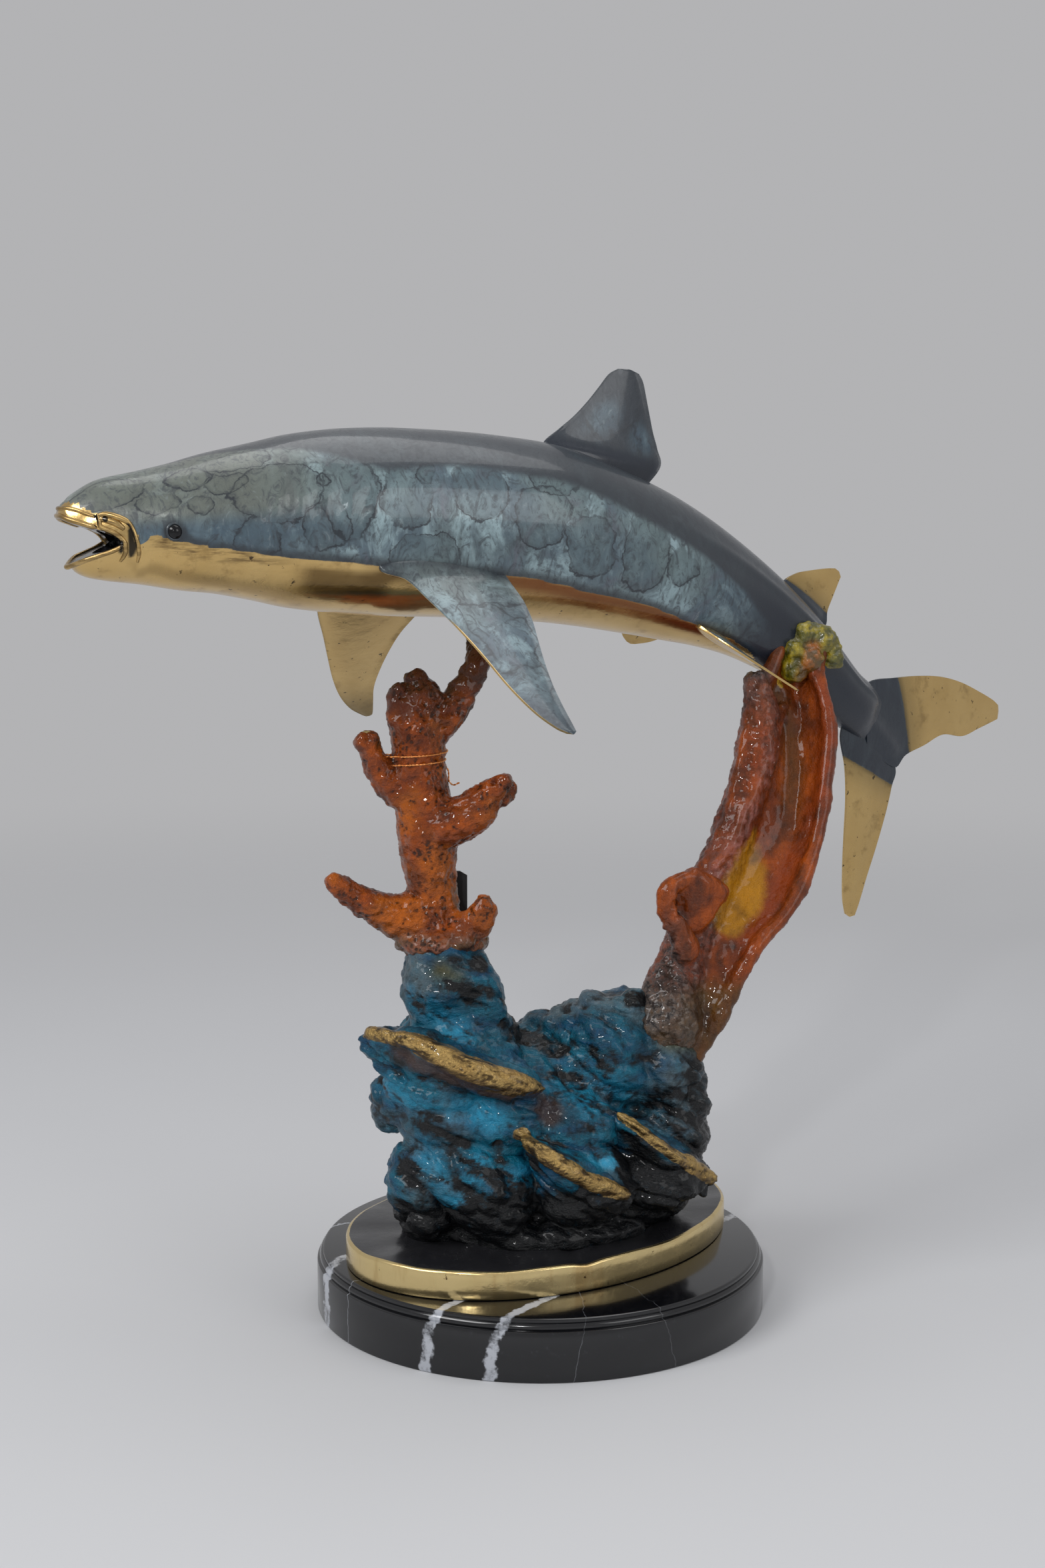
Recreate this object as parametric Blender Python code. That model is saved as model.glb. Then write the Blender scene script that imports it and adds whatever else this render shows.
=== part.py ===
"""Shark over a reef, a polychrome bronze figurine on a round marble base.

The shark is one casting and the reef another; the reef is bolted down through the marble.
Metres, +Z up.  Origin: centre of the marble's underside.  The head points to -X and
a little toward -Y, the tail away to +X and +Y.
"""
import bpy
import bmesh
from math import cos, pi, radians, sin
from mathutils import Vector, noise
from mathutils.bvhtree import BVHTree

# Marble base
MARBLE_DIAMETER = 0.280
MARBLE_HEIGHT = 0.0375
MARBLE_EDGE_HEIGHT = 0.0072      # stepped moulding at the top edge
MARBLE_EDGE_DEPTH = 0.0045
MARBLE_CHAMFER = 0.0012

# Bronze plinth under the rock, an oval along the shark
PLINTH_LENGTH = 0.262
PLINTH_WIDTH = 0.186
PLINTH_HEIGHT = 0.018
PLINTH_TURN = 39.0               # degrees from +X
PLINTH_EDGE = 0.0014
PLINTH_WALL = 0.014
PLINTH_RECESS = 0.009

# Fixings
BOLT_DIAMETER = 0.008
BOLT_HEAD_WIDTH = 0.013
BOLT_HEAD_HEIGHT = 0.0053
BOLT_ENGAGEMENT = 0.011
BOLT_SPACING = 0.110
BOSS_DIAMETER = 0.026
COUNTERBORE_DIAMETER = 0.024
COUNTERBORE_DEPTH = 0.0095
WASHER_DIAMETER = 0.018
WASHER_THICKNESS = 0.0016
GAP = 0.0003                     # between pieces that touch

# Shark
SWIM_HEIGHT = 0.430              # body axis above the plinth's top
BODY_SCALE = 1.0                 # thickness of the body against the stations below
HEAD_HEADING = 25.0              # degrees, plan direction of the front half
TAIL_HEADING = 40.0
TURN_START = 0.250               # where along the body the tail starts to swing
BODY_LENGTH = 0.5455             # snout to the end of the tail stock, in plan
PIVOT_S = 0.2745                 # this point of the axis lies at PIVOT_X, PIVOT_Y
PIVOT_X = -0.020
PIVOT_Y = 0.004
SECTION_POWER = 2.15             # 2 is an ellipse, more is boxier
BODY_SIDES = 24
BODY_RINGS = 32
DORSAL_S = 0.290                 # where each fin's leading edge leaves the body
SECOND_DORSAL_S = 0.460
PECTORAL_S = 0.1745
PELVIC_S = 0.402
EYE_DIAMETER = 0.0082
EYE_S = 0.058
LIP_RADIUS = 0.0015
GILL_COUNT = 5
GILL_S = 0.107                   # first slit
GILL_PITCH = 0.0145
GILL_DEPTH = 0.0011

# distance from the snout, axis height against SWIM_HEIGHT, half height, half width
STATIONS = [
    (0.000, 0.0089, 0.0022, 0.0035),
    (0.002, 0.0060, 0.0080, 0.0090),
    (0.005, -0.0010, 0.0175, 0.0130),
    (0.0105, -0.0020, 0.0230, 0.0165),
    (0.023, -0.0005, 0.0280, 0.0210),
    (0.046, 0.0005, 0.0320, 0.0280),
    (0.0685, 0.0010, 0.0365, 0.0340),
    (0.089, 0.0025, 0.0405, 0.0380),
    (0.111, 0.0030, 0.0450, 0.0415),
    (0.1335, 0.0030, 0.0500, 0.0445),
    (0.162, 0.0030, 0.0535, 0.0475),
    (0.1955, 0.0020, 0.0555, 0.0495),
    (0.230, 0.0005, 0.0555, 0.0500),
    (0.264, -0.0020, 0.0550, 0.0495),
    (0.2965, -0.0060, 0.0540, 0.0475),
    (0.330, -0.0140, 0.0505, 0.0440),
    (0.364, -0.0240, 0.0465, 0.0390),
    (0.3945, -0.0350, 0.0415, 0.0340),
    (0.419, -0.0450, 0.0365, 0.0295),
    (0.445, -0.0575, 0.0315, 0.0250),
    (0.470, -0.0720, 0.0275, 0.0215),
    (0.492, -0.0870, 0.0240, 0.0185),
    (0.5115, -0.1030, 0.0210, 0.0165),
    (0.5285, -0.1165, 0.0190, 0.0150),
    (0.5455, -0.1270, 0.0182, 0.0120),
    (0.558, -0.1355, 0.0160, 0.0048),
]

# Mouth, seen from the side: distance from the snout and height against SWIM_HEIGHT
MOUTH_ROOF = [(-0.012, 0.0090), (0.000, 0.0078), (0.003, 0.0056), (0.012, 0.0022), (0.022, -0.0006),
              (0.029, -0.0040)]
MOUTH_CORNER = (0.0318, -0.0075)
MOUTH_FLOOR = [(0.029, -0.0098), (0.0235, -0.0118), (0.012, -0.0160), (0.004, -0.0205), (-0.012, -0.0235)]

# Fin outlines in their own planes: leading edge and trailing edge as (out, aft), root first
DORSAL_LEAD = [(-0.012, 0.000), (0.000, 0.000), (0.010, 0.0085), (0.0195, 0.017), (0.030, 0.0245),
               (0.040, 0.0305), (0.0495, 0.036), (0.054, 0.0415)]
DORSAL_TRAIL = [(-0.018, 0.0715), (0.001, 0.083), (0.0115, 0.079), (0.0205, 0.074), (0.029, 0.070),
                (0.040, 0.065), (0.0495, 0.0605), (0.054, 0.0565)]
SECOND_LEAD = [(-0.014, 0.006), (0.000, 0.000), (0.011, 0.006), (0.0195, 0.016), (0.028, 0.0275),
               (0.032, 0.034)]
SECOND_TRAIL = [(-0.016, 0.0445), (-0.004, 0.0475), (0.005, 0.044), (0.0145, 0.043), (0.0245, 0.042),
                (0.030, 0.0415)]
UPPER_LEAD = [(0.005, -0.007), (0.022, 0.002), (0.036, 0.0185), (0.0515, 0.038), (0.065, 0.058),
              (0.0745, 0.078), (0.081, 0.099), (0.085, 0.115), (0.0855, 0.122)]
UPPER_TRAIL = [(-0.017, 0.0295), (-0.010, 0.060), (0.002, 0.063), (0.0185, 0.075), (0.0355, 0.0865),
               (0.0465, 0.1045), (0.060, 0.115), (0.072, 0.124), (0.0775, 0.128)]
LOWER_LEAD = [(0.0135, -0.0035), (0.025, 0.002), (0.037, 0.018), (0.0525, 0.0325), (0.072, 0.047),
              (0.090, 0.0605), (0.106, 0.074), (0.1135, 0.0835)]
LOWER_TRAIL = [(0.000, 0.0295), (0.009, 0.060), (0.0215, 0.066), (0.038, 0.0725), (0.061, 0.0795),
               (0.0825, 0.085), (0.100, 0.090), (0.1095, 0.092)]
PECTORAL_LEAD = [(-0.027, 0.0115), (0.000, 0.000), (0.008, 0.0145), (0.024, 0.024), (0.045, 0.035),
                 (0.068, 0.045), (0.092, 0.054), (0.1115, 0.064), (0.123, 0.0735), (0.127, 0.0795)]
PECTORAL_TRAIL = [(-0.020, 0.073), (0.003, 0.0805), (0.022, 0.0855), (0.038, 0.086), (0.0545, 0.0845),
                  (0.0725, 0.083), (0.0905, 0.0825), (0.107, 0.0835), (0.1205, 0.085), (0.126, 0.0855)]
FAR_PECTORAL_LEAD = [(-0.032, 0.000), (0.000, 0.000), (0.021, 0.006), (0.045, 0.0175), (0.0655, 0.027),
                     (0.0885, 0.038), (0.106, 0.0485), (0.1185, 0.0595), (0.125, 0.0695), (0.127, 0.074)]
FAR_PECTORAL_TRAIL = [(-0.031, 0.074), (-0.003, 0.0765), (0.020, 0.071), (0.0385, 0.067), (0.061, 0.066),
                      (0.082, 0.067), (0.096, 0.069), (0.109, 0.073), (0.120, 0.0765), (0.1245, 0.0775)]
PELVIC_LEAD = [(-0.012, -0.002), (0.000, 0.000), (0.010, 0.013), (0.0165, 0.028), (0.0205, 0.046),
               (0.0215, 0.064), (0.020, 0.070)]
PELVIC_TRAIL = [(-0.012, 0.034), (-0.002, 0.042), (0.003, 0.052), (0.008, 0.060), (0.013, 0.067),
                (0.0165, 0.072), (0.0175, 0.0735)]
FAR_PELVIC_LEAD = [(-0.012, 0.002), (0.000, 0.000), (0.007, 0.002), (0.013, 0.006), (0.017, 0.012)]
FAR_PELVIC_TRAIL = [(-0.012, 0.034), (-0.002, 0.036), (0.005, 0.033), (0.012, 0.027), (0.017, 0.019)]
DORSAL_THICKNESS = 0.011
SECOND_DORSAL_THICKNESS = 0.007
TAIL_FIN_THICKNESS = 0.0075
PECTORAL_THICKNESS = 0.0095
PELVIC_THICKNESS = 0.0045
FIN_EDGE = 0.0013                # least thickness, at tips and trailing edges

# Reef, heights from the plinth's top.  Rows of x, y, z, radius
TRUNK = [(-0.058, -0.021, 0.152, 0.027), (-0.0595, -0.020, 0.168, 0.0225), (-0.0615, -0.018, 0.176, 0.024),
         (-0.0635, -0.016, 0.186, 0.018), (-0.065, -0.015, 0.198, 0.016), (-0.0665, -0.015, 0.2155, 0.0153),
         (-0.069, -0.015, 0.237, 0.0173), (-0.0715, -0.015, 0.2645, 0.0176), (-0.0745, -0.015, 0.289, 0.0164),
         (-0.0735, -0.014, 0.3085, 0.0172), (-0.073, -0.012, 0.3245, 0.0145), (-0.0755, -0.010, 0.3365, 0.008)]
BRANCH = [(-0.065, -0.013, 0.308, 0.012), (-0.053, -0.011, 0.3195, 0.0108), (-0.044, -0.008, 0.335, 0.0082),
          (-0.037, -0.005, 0.3485, 0.0078)]
BRANCH_SEAT_RADIUS = 0.0095
BRANCH_SEAT_S = 0.2640           # where the branch meets the belly
STUBS = [
    [(-0.080, -0.018, 0.266, 0.0088), (-0.090, -0.020, 0.272, 0.0075), (-0.0985, -0.022, 0.286, 0.0068),
     (-0.1043, -0.024, 0.301, 0.0048)],
    [(-0.085, -0.016, 0.3137, 0.008), (-0.0865, -0.017, 0.325, 0.0056), (-0.085, -0.017, 0.3316, 0.004)],
    [(-0.061, -0.020, 0.248, 0.0136), (-0.0447, -0.024, 0.2555, 0.0124), (-0.032, -0.027, 0.2674, 0.008),
     (-0.022, -0.029, 0.2774, 0.004)],
    [(-0.035, -0.022, 0.2666, 0.0072), (-0.024, -0.018, 0.2685, 0.0064), (-0.0183, -0.016, 0.2715, 0.0036)],
    [(-0.0695, -0.018, 0.1924, 0.016), (-0.0895, -0.024, 0.1948, 0.0125), (-0.1045, -0.029, 0.2024, 0.010),
     (-0.117, -0.033, 0.2113, 0.0072), (-0.1255, -0.036, 0.2175, 0.004)],
    [(-0.053, -0.020, 0.1833, 0.012), (-0.0417, -0.026, 0.1887, 0.0096), (-0.035, -0.029, 0.1984, 0.0068),
     (-0.034, -0.030, 0.2051, 0.0044)],
]
CROWN = (-0.0615, -0.018, 0.176, 0.0275, 0.024, 0.009)
# Kelp frond: share of the way up, then x of the left edge, the fold and the right edge, y of the same
KELP_FOOT = 0.101
KELP = [
    (0.00, 0.072, 0.086, 0.0985, -0.012, -0.012, -0.012),
    (0.08, 0.078, 0.0985, 0.1105, -0.010, -0.008, -0.010),
    (0.18, 0.083, 0.113, 0.123, -0.006, -0.002, -0.006),
    (0.27, 0.086, 0.125, 0.1365, -0.002, 0.008, 0.000),
    (0.35, 0.0905, 0.138, 0.1555, 0.008, 0.022, 0.012),
    (0.42, 0.096, 0.148, 0.1665, 0.018, 0.036, 0.022),
    (0.51, 0.108, 0.1565, 0.176, 0.026, 0.050, 0.034),
    (0.605, 0.118, 0.160, 0.182, 0.034, 0.062, 0.044),
    (0.70, 0.1235, 0.1615, 0.1855, 0.042, 0.072, 0.054),
    (0.79, 0.128, 0.1625, 0.1875, 0.050, 0.080, 0.062),
    (0.87, 0.134, 0.164, 0.185, 0.058, 0.086, 0.070),
    (0.94, 0.1435, 0.1665, 0.180, 0.066, 0.088, 0.078),
    (1.00, 0.1495, 0.1665, 0.183, 0.072, 0.084, 0.080),
]
KELP_TOP_DROP = 0.002            # top of the frond under the weld's middle
KELP_THICKNESS = 0.0085
KELP_RIM_RADIUS = 0.0052
KELP_BACK = [(0.1373, 0.066, 0.92, 0.0093), (0.1394, 0.062, 0.82, 0.0125), (0.136, 0.056, 0.725, 0.0135),
             (0.1295, 0.048, 0.63, 0.0134), (0.121, 0.040, 0.535, 0.0134), (0.111, 0.032, 0.44, 0.0142),
             (0.101, 0.022, 0.35, 0.015), (0.091, 0.012, 0.26, 0.0149), (0.0825, 0.002, 0.17, 0.018),
             (0.078, -0.006, 0.08, 0.022)]
KELP_LIP = [(0.109, 0.006, 0.41, 0.0082), (0.0936, -0.006, 0.455, 0.0062), (0.080, -0.012, 0.44, 0.0061),
            (0.077, -0.014, 0.40, 0.0055), (0.082, -0.012, 0.345, 0.0068), (0.090, -0.008, 0.275, 0.009)]
KELP_BOWL = (0.0925, 0.001, 0.385, 0.0175, 0.0075, 0.0185)
WELD_S = 0.4830                  # where the frond is welded to the tail stock
WELD = [(-0.010, 0.002, 0.0085), (-0.004, 0.011, 0.0080), (0.009, 0.008, 0.0090), (0.016, -0.004, 0.0072),
        (0.000, -0.004, 0.0105), (-0.009, -0.012, 0.0085)]
# Boulders of the rock: centre and radii
ROCK = [
    (-0.058, -0.022, 0.141, 0.0254, 0.0246, 0.0287), (-0.0495, -0.020, 0.1075, 0.041, 0.037, 0.037),
    (-0.0045, 0.000, 0.0765, 0.050, 0.046, 0.044), (0.039, 0.000, 0.102, 0.0376, 0.0397, 0.0376),
    (0.0726, 0.004, 0.097, 0.0294, 0.0336, 0.0378), (-0.021, -0.012, 0.035, 0.065, 0.0546, 0.044),
    (0.050, 0.000, 0.0315, 0.051, 0.053, 0.0424), (-0.0617, -0.030, 0.0215, 0.0283, 0.0333, 0.040),
    (0.079, 0.004, 0.054, 0.0263, 0.034, 0.0296), (-0.0045, -0.005, 0.002, 0.0787, 0.068, 0.0215),
    (0.0516, 0.004, 0.1226, 0.026, 0.0293, 0.020), (0.008, 0.012, 0.1034, 0.0337, 0.0295, 0.021),
    (-0.0045, 0.040, 0.033, 0.0653, 0.039, 0.052), (0.038, 0.036, 0.0655, 0.0475, 0.0346, 0.048),
    (-0.047, 0.020, 0.0623, 0.0388, 0.0345, 0.050), (-0.083, -0.034, 0.082, 0.020, 0.026, 0.018),
    (-0.052, -0.052, 0.078, 0.034, 0.026, 0.028), (0.012, -0.040, 0.068, 0.036, 0.030, 0.026),
    (-0.070, -0.050, 0.040, 0.022, 0.024, 0.026), (-0.028, -0.060, 0.030, 0.026, 0.022, 0.030),
    (0.092, 0.004, 0.082, 0.013, 0.020, 0.016), (-0.056, -0.052, 0.098, 0.040, 0.027, 0.024),
    (-0.022, -0.054, 0.078, 0.030, 0.026, 0.022), (0.024, -0.056, 0.036, 0.030, 0.026, 0.026),
    (0.070, -0.036, 0.034, 0.028, 0.022, 0.022), (-0.044, -0.058, 0.046, 0.030, 0.022, 0.026),
]
SLAB_THICKNESS = 0.018
SLAB_TAPER = 0.20                # how far its underside draws in toward its middle
SLABS = [
    [(-0.110, -0.058, 0.125), (-0.099, -0.066, 0.1335), (-0.074, -0.086, 0.1347), (-0.043, -0.090, 0.122),
     (-0.012, -0.086, 0.108), (0.0045, -0.070, 0.100), (-0.004, -0.045, 0.1057), (-0.045, -0.030, 0.1217),
     (-0.0856, -0.030, 0.128)],
    [(-0.014, -0.086, 0.0745), (0.002, -0.098, 0.073), (0.027, -0.096, 0.0546), (0.055, -0.080, 0.0374),
     (0.060, -0.058, 0.0357), (0.028, -0.045, 0.0512), (-0.004, -0.052, 0.0687)],
    [(0.036, -0.048, 0.0844), (0.059, -0.064, 0.0753), (0.0835, -0.060, 0.0544), (0.109, -0.034, 0.0332),
     (0.1077, -0.008, 0.0326), (0.0785, -0.005, 0.0488), (0.049, -0.015, 0.0704)],
]
# Nodules on the rock's top and flanks
NODULES = [
    (-0.071, -0.064, 0.040, 0.013, 0.011, 0.021), (-0.066, -0.060, 0.018, 0.013, 0.011, 0.014),
    (-0.092, -0.038, 0.074, 0.009, 0.012, 0.011), (0.012, 0.000, 0.121, 0.014, 0.013, 0.008),
    (0.036, -0.004, 0.134, 0.012, 0.013, 0.010), (0.056, -0.010, 0.137, 0.012, 0.013, 0.009),
    (0.093, -0.010, 0.094, 0.010, 0.012, 0.009), (0.097, -0.006, 0.073, 0.010, 0.012, 0.009),
    (0.093, -0.014, 0.055, 0.010, 0.011, 0.008), (-0.002, -0.050, 0.086, 0.015, 0.012, 0.012),
    (-0.012, 0.030, 0.086, 0.020, 0.016, 0.014), (0.030, 0.040, 0.100, 0.018, 0.015, 0.014),
    (-0.050, 0.040, 0.060, 0.017, 0.014, 0.018), (0.062, 0.044, 0.070, 0.017, 0.014, 0.018),
]
# Rounded upper edge of each ledge, rows of x, y, z, radius
LEDGE_EDGES = [
    [(-0.102, -0.062, 0.131, 0.0040), (-0.075, -0.081, 0.130, 0.0050), (-0.043, -0.083, 0.114, 0.0084),
     (-0.012, -0.078, 0.104, 0.0068), (-0.001, -0.070, 0.099, 0.0040)],
    [(-0.010, -0.072, 0.071, 0.0034), (0.005, -0.093, 0.063, 0.0050), (0.028, -0.090, 0.049, 0.0050),
     (0.051, -0.079, 0.037, 0.0038)],
    [(0.049, -0.052, 0.077, 0.0030), (0.072, -0.056, 0.061, 0.0038), (0.098, -0.039, 0.039, 0.0044),
     (0.106, -0.032, 0.032, 0.0038)],
]
# Knobs under the coral's crown, and the ridge that runs up the frond
KNOBS = [
    (-0.077, -0.026, 0.180, 0.0100), (-0.062, -0.036, 0.178, 0.0090), (-0.046, -0.032, 0.180, 0.0085),
    (-0.083, -0.018, 0.183, 0.0090), (-0.041, -0.012, 0.177, 0.0090),
]
KELP_RIDGE = [(0.156, 0.076, 0.86, 0.0032), (0.147, 0.054, 0.78, 0.0036), (0.138, 0.042, 0.69, 0.0036),
              (0.128, 0.033, 0.61, 0.0036), (0.120, 0.026, 0.53, 0.0036), (0.108, 0.019, 0.47, 0.0032)]
# Skin of the reef: broad swells, blocks in layers that dip to the right, lumps on coral and kelp
SWELL_SIZE = 0.040
SWELL_HEIGHT = 0.0040
LAYER_DIP = 26.0
BLOCK_LENGTH = 0.046
BLOCK_DEPTH = 0.026
BLOCK_THICKNESS = 0.017
BLOCK_HEIGHT = 0.0030
BLOCK_STEP = 0.0016
LUMP_SIZE = 0.016
LUMP_HEIGHT = 0.0018
REEF_VOXEL = 0.0038
REEF_FACES = 4900

# Copper tie round the coral trunk and the tag that hangs on it
WIRE_DIAMETER = 0.0009
TIE_DROP = 0.0185                # below the fork where the branch leaves the trunk
TIE_TURN_RISE = 0.0115
TIE_TURNS = 2.2
TAG_WIDTH = 0.024
TAG_LENGTH = 0.028
TAG_THICKNESS = 0.0012
TAG_CLIP = 0.0045                # clipped upper corners
TAG_TOP = 0.2165                 # above the plinth's top
TAG_SIDE = 0.0080                # middle of the tag, right of the trunk's middle
TAG_HOLE = 0.0032

Z_MARBLE = MARBLE_HEIGHT
Z_FOOT = Z_MARBLE + GAP
Z_TOP = Z_FOOT + PLINTH_HEIGHT
Z_AXIS = Z_TOP + SWIM_HEIGHT


def clear_scene():
    for thing in list(bpy.data.objects):
        bpy.data.objects.remove(thing, do_unlink=True)


def material(name, colour, roughness, metallic):
    mat = bpy.data.materials.new(name)
    mat.use_nodes = True
    shader = mat.node_tree.nodes["Principled BSDF"]
    shader.inputs["Base Color"].default_value = (*colour, 1.0)
    shader.inputs["Roughness"].default_value = roughness
    shader.inputs["Metallic"].default_value = metallic
    mat.diffuse_color = (*colour, 1.0)
    return mat


def add_object(name, bm, mat=None):
    bmesh.ops.recalc_face_normals(bm, faces=bm.faces)
    mesh = bpy.data.meshes.new(name)
    bm.to_mesh(mesh)
    bm.free()
    obj = bpy.data.objects.new(name, mesh)
    bpy.context.scene.collection.objects.link(obj)
    if mat is not None:
        mesh.materials.append(mat)
    return obj


def bake(obj):
    """Turn the evaluated mesh into the object's own mesh."""
    graph = bpy.context.evaluated_depsgraph_get()
    mesh = bpy.data.meshes.new_from_object(obj.evaluated_get(graph))
    obj.modifiers.clear()
    obj.data = mesh
    return obj


def boolean(target, tool, operation):
    mod = target.modifiers.new(operation, "BOOLEAN")
    mod.operation = operation
    mod.solver = "EXACT"
    mod.object = tool
    bake(target)
    bpy.data.objects.remove(tool, do_unlink=True)
    return target


def loft(bm, rings, pole_start=None, pole_end=None):
    """Skin a list of closed rings of equal count, with a pole or a flat cap at each end."""
    rows = [[bm.verts.new(p) for p in ring] for ring in rings]
    count = len(rows[0])
    for a, b in zip(rows, rows[1:]):
        for i in range(count):
            j = (i + 1) % count
            bm.faces.new((a[i], a[j], b[j], b[i]))
    for row, pole in ((rows[0], pole_start), (rows[-1], pole_end)):
        if pole is None:
            bm.faces.new(row)
        else:
            tip = bm.verts.new(pole)
            for i in range(count):
                bm.faces.new((row[i], row[(i + 1) % count], tip))


def stations():
    """The body's stations, with the tail stock's end at BODY_LENGTH."""
    k = BODY_LENGTH / STATIONS[-2][0]
    return [(s * k, drop, half_height, half_width) for s, drop, half_height, half_width in STATIONS]


BODY = stations()


def spline(values, t):
    """Catmull-Rom through rows whose first item is the parameter."""
    last = len(values) - 1
    t = min(max(t, values[0][0]), values[last][0])
    k = 0
    while k < last - 1 and values[k + 1][0] < t:
        k += 1
    p0 = values[max(k - 1, 0)]
    p1 = values[k]
    p2 = values[k + 1]
    p3 = values[min(k + 2, last)]
    span = p2[0] - p1[0]
    u = (t - p1[0]) / span
    out = []
    for c in range(1, len(p1)):
        m1 = (p2[c] - p0[c]) / (p2[0] - p0[0]) * span
        m2 = (p3[c] - p1[c]) / (p3[0] - p1[0]) * span
        # a slope steeper than the neighbours allow would make the skin ripple
        limit = 3.0 * abs(p2[c] - p1[c])
        m1 = max(-limit, min(limit, m1))
        m2 = max(-limit, min(limit, m2))
        out.append((2 * u**3 - 3 * u**2 + 1) * p1[c] + (u**3 - 2 * u**2 + u) * m1
                   + (3 * u**2 - 2 * u**3) * p2[c] + (u**3 - u**2) * m2)
    return out


# The swim curve
def heading(s):
    t = max(0.0, (s - TURN_START) / (BODY_LENGTH - TURN_START))
    return radians(HEAD_HEADING + (TAIL_HEADING - HEAD_HEADING) * min(t, 1.1) ** 2)


def plan_point(s):
    steps = 48
    step = (s - PIVOT_S) / steps
    x = PIVOT_X
    y = PIVOT_Y
    for i in range(steps):
        a = heading(PIVOT_S + (i + 0.5) * step)
        x += cos(a) * step
        y += sin(a) * step
    return x, y


def body_axis(s):
    x, y = plan_point(s)
    return Vector((x, y, Z_AXIS + spline(BODY, s)[0]))


def body_frame(s):
    """Centre, left, up and tailward directions, half height and half width."""
    row = spline(BODY, s)
    eps = 0.012
    low = max(s - eps, 0.04)
    high = min(max(s + eps, 0.05), BODY[-1][0])
    rise = (spline(BODY, high)[0] - spline(BODY, low)[0]) / (high - low)
    a = heading(s)
    aft = Vector((cos(a), sin(a), rise)).normalized()
    left = Vector((sin(a), -cos(a), 0.0))
    return body_axis(s), left, left.cross(aft), aft, row[1] * BODY_SCALE, row[2] * BODY_SCALE


def body_point(s, angle, out=0.0):
    """Skin point: angle 0 is the left side, 90 the back, 270 the belly, in degrees."""
    centre, left, up, aft, half_height, half_width = body_frame(s)
    c = cos(radians(angle))
    d = sin(radians(angle))
    x = (half_width + out) * (abs(c) ** (2 / SECTION_POWER)) * (1 if c >= 0 else -1)
    z = (half_height + out) * (abs(d) ** (2 / SECTION_POWER)) * (1 if d >= 0 else -1)
    return centre + left * x + up * z


def head_point(s, side, height):
    """Skin point of the head at a height against SWIM_HEIGHT, side +1 left and -1 right."""
    centre, left, up, aft, half_height, half_width = body_frame(s)
    rel = min(abs(Z_AXIS + height - centre.z) / half_height, 0.995)
    x = half_width * (1 - rel ** SECTION_POWER) ** (1 / SECTION_POWER)
    point = centre + left * (side * x)
    point.z = Z_AXIS + height
    return point


def body_mesh():
    bm = bmesh.new()
    first = BODY[0][0]
    last = BODY[-1][0]
    rings = []
    for i in range(BODY_RINGS + 1):
        u = i / BODY_RINGS
        s = first + (last - first) * (0.72 * u + 0.28 * u * u) if u > 0 else first
        rings.append([body_point(s, 360 * k / BODY_SIDES) for k in range(BODY_SIDES)])
    extra = [first + 0.0015, first + 0.0035, first + 0.007]
    front = [[body_point(s, 360 * k / BODY_SIDES) for k in range(BODY_SIDES)] for s in extra]
    rings = rings[:1] + front + rings[1:]
    loft(bm, rings, body_axis(first) - body_frame(first)[3] * 0.0012,
         body_axis(last) + body_frame(last)[3] * 0.003)
    return bm


def fin_axes(heading_deg, pitch_deg, splay_deg):
    """Aft, span and normal of a fin: splay 0 stands up, +90 points left, -90 right."""
    a = radians(heading_deg)
    p = radians(pitch_deg)
    aft = Vector((cos(a) * cos(p), sin(a) * cos(p), -sin(p)))
    left = Vector((sin(a), -cos(a), 0.0))
    up = left.cross(aft)
    span = up * cos(radians(splay_deg)) + left * sin(radians(splay_deg))
    return aft, span, aft.cross(span)


def fin_mesh(origin, axes, lead, trail, thickness, half_count=5, droop=0.0):
    """Blade between two outlines, thickest at a third of the chord, thinner toward the tip."""
    aft, span, normal = axes
    bm = bmesh.new()
    rings = []
    far = max(lead[-1][0], trail[-1][0])
    shares = [0.5 - 0.5 * cos(pi * k / half_count) for k in range(half_count + 1)]
    for (lead_out, lead_aft), (trail_out, trail_aft) in zip(lead, trail):
        a = origin + span * lead_out + aft * lead_aft
        b = origin + span * trail_out + aft * trail_aft
        rise = max(0.0, 0.5 * (lead_out + trail_out) / far)
        full = thickness * (1 - 0.72 * rise)
        bend = normal * (droop * rise * rise)
        ring = []
        for side in (1, -1):
            order = shares[1:-1] if side == 1 else shares[-2:0:-1]
            if side == 1:
                ring.append(a + bend)
            else:
                ring.append(b + bend)
            for t in order:
                belly = (t ** 0.6) * ((1 - t) ** 0.9) * 1.75
                depth = max(full * belly, FIN_EDGE) / 2
                ring.append(a.lerp(b, t) + bend + normal * (side * depth))
        rings.append(ring)
    tip = rings[-1][0].lerp(rings[-1][half_count], 0.5) + (span * 0.0015 + aft * 0.0010)
    loft(bm, rings, None, tip)
    return bm


def tube_mesh(points, radii, sides=8, ends=True):
    """Round skin along a path with a radius at each point, its ends domed."""
    bm = bmesh.new()
    rings = []
    normal = None
    count = len(points)
    for i, (p, r) in enumerate(zip(points, radii)):
        ahead = points[min(i + 1, count - 1)] - points[max(i - 1, 0)]
        ahead.normalize()
        if normal is None:
            normal = ahead.orthogonal().normalized()
        normal = (normal - ahead * normal.dot(ahead)).normalized()
        other = ahead.cross(normal)
        rings.append([p + (normal * cos(2 * pi * k / sides) + other * sin(2 * pi * k / sides)) * r
                      for k in range(sides)])
    start = points[0] + (points[0] - points[1]).normalized() * radii[0] * (0.7 if ends else 0.01)
    end = points[-1] + (points[-1] - points[-2]).normalized() * radii[-1] * (0.7 if ends else 0.01)
    loft(bm, rings, start, end)
    return bm


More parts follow.
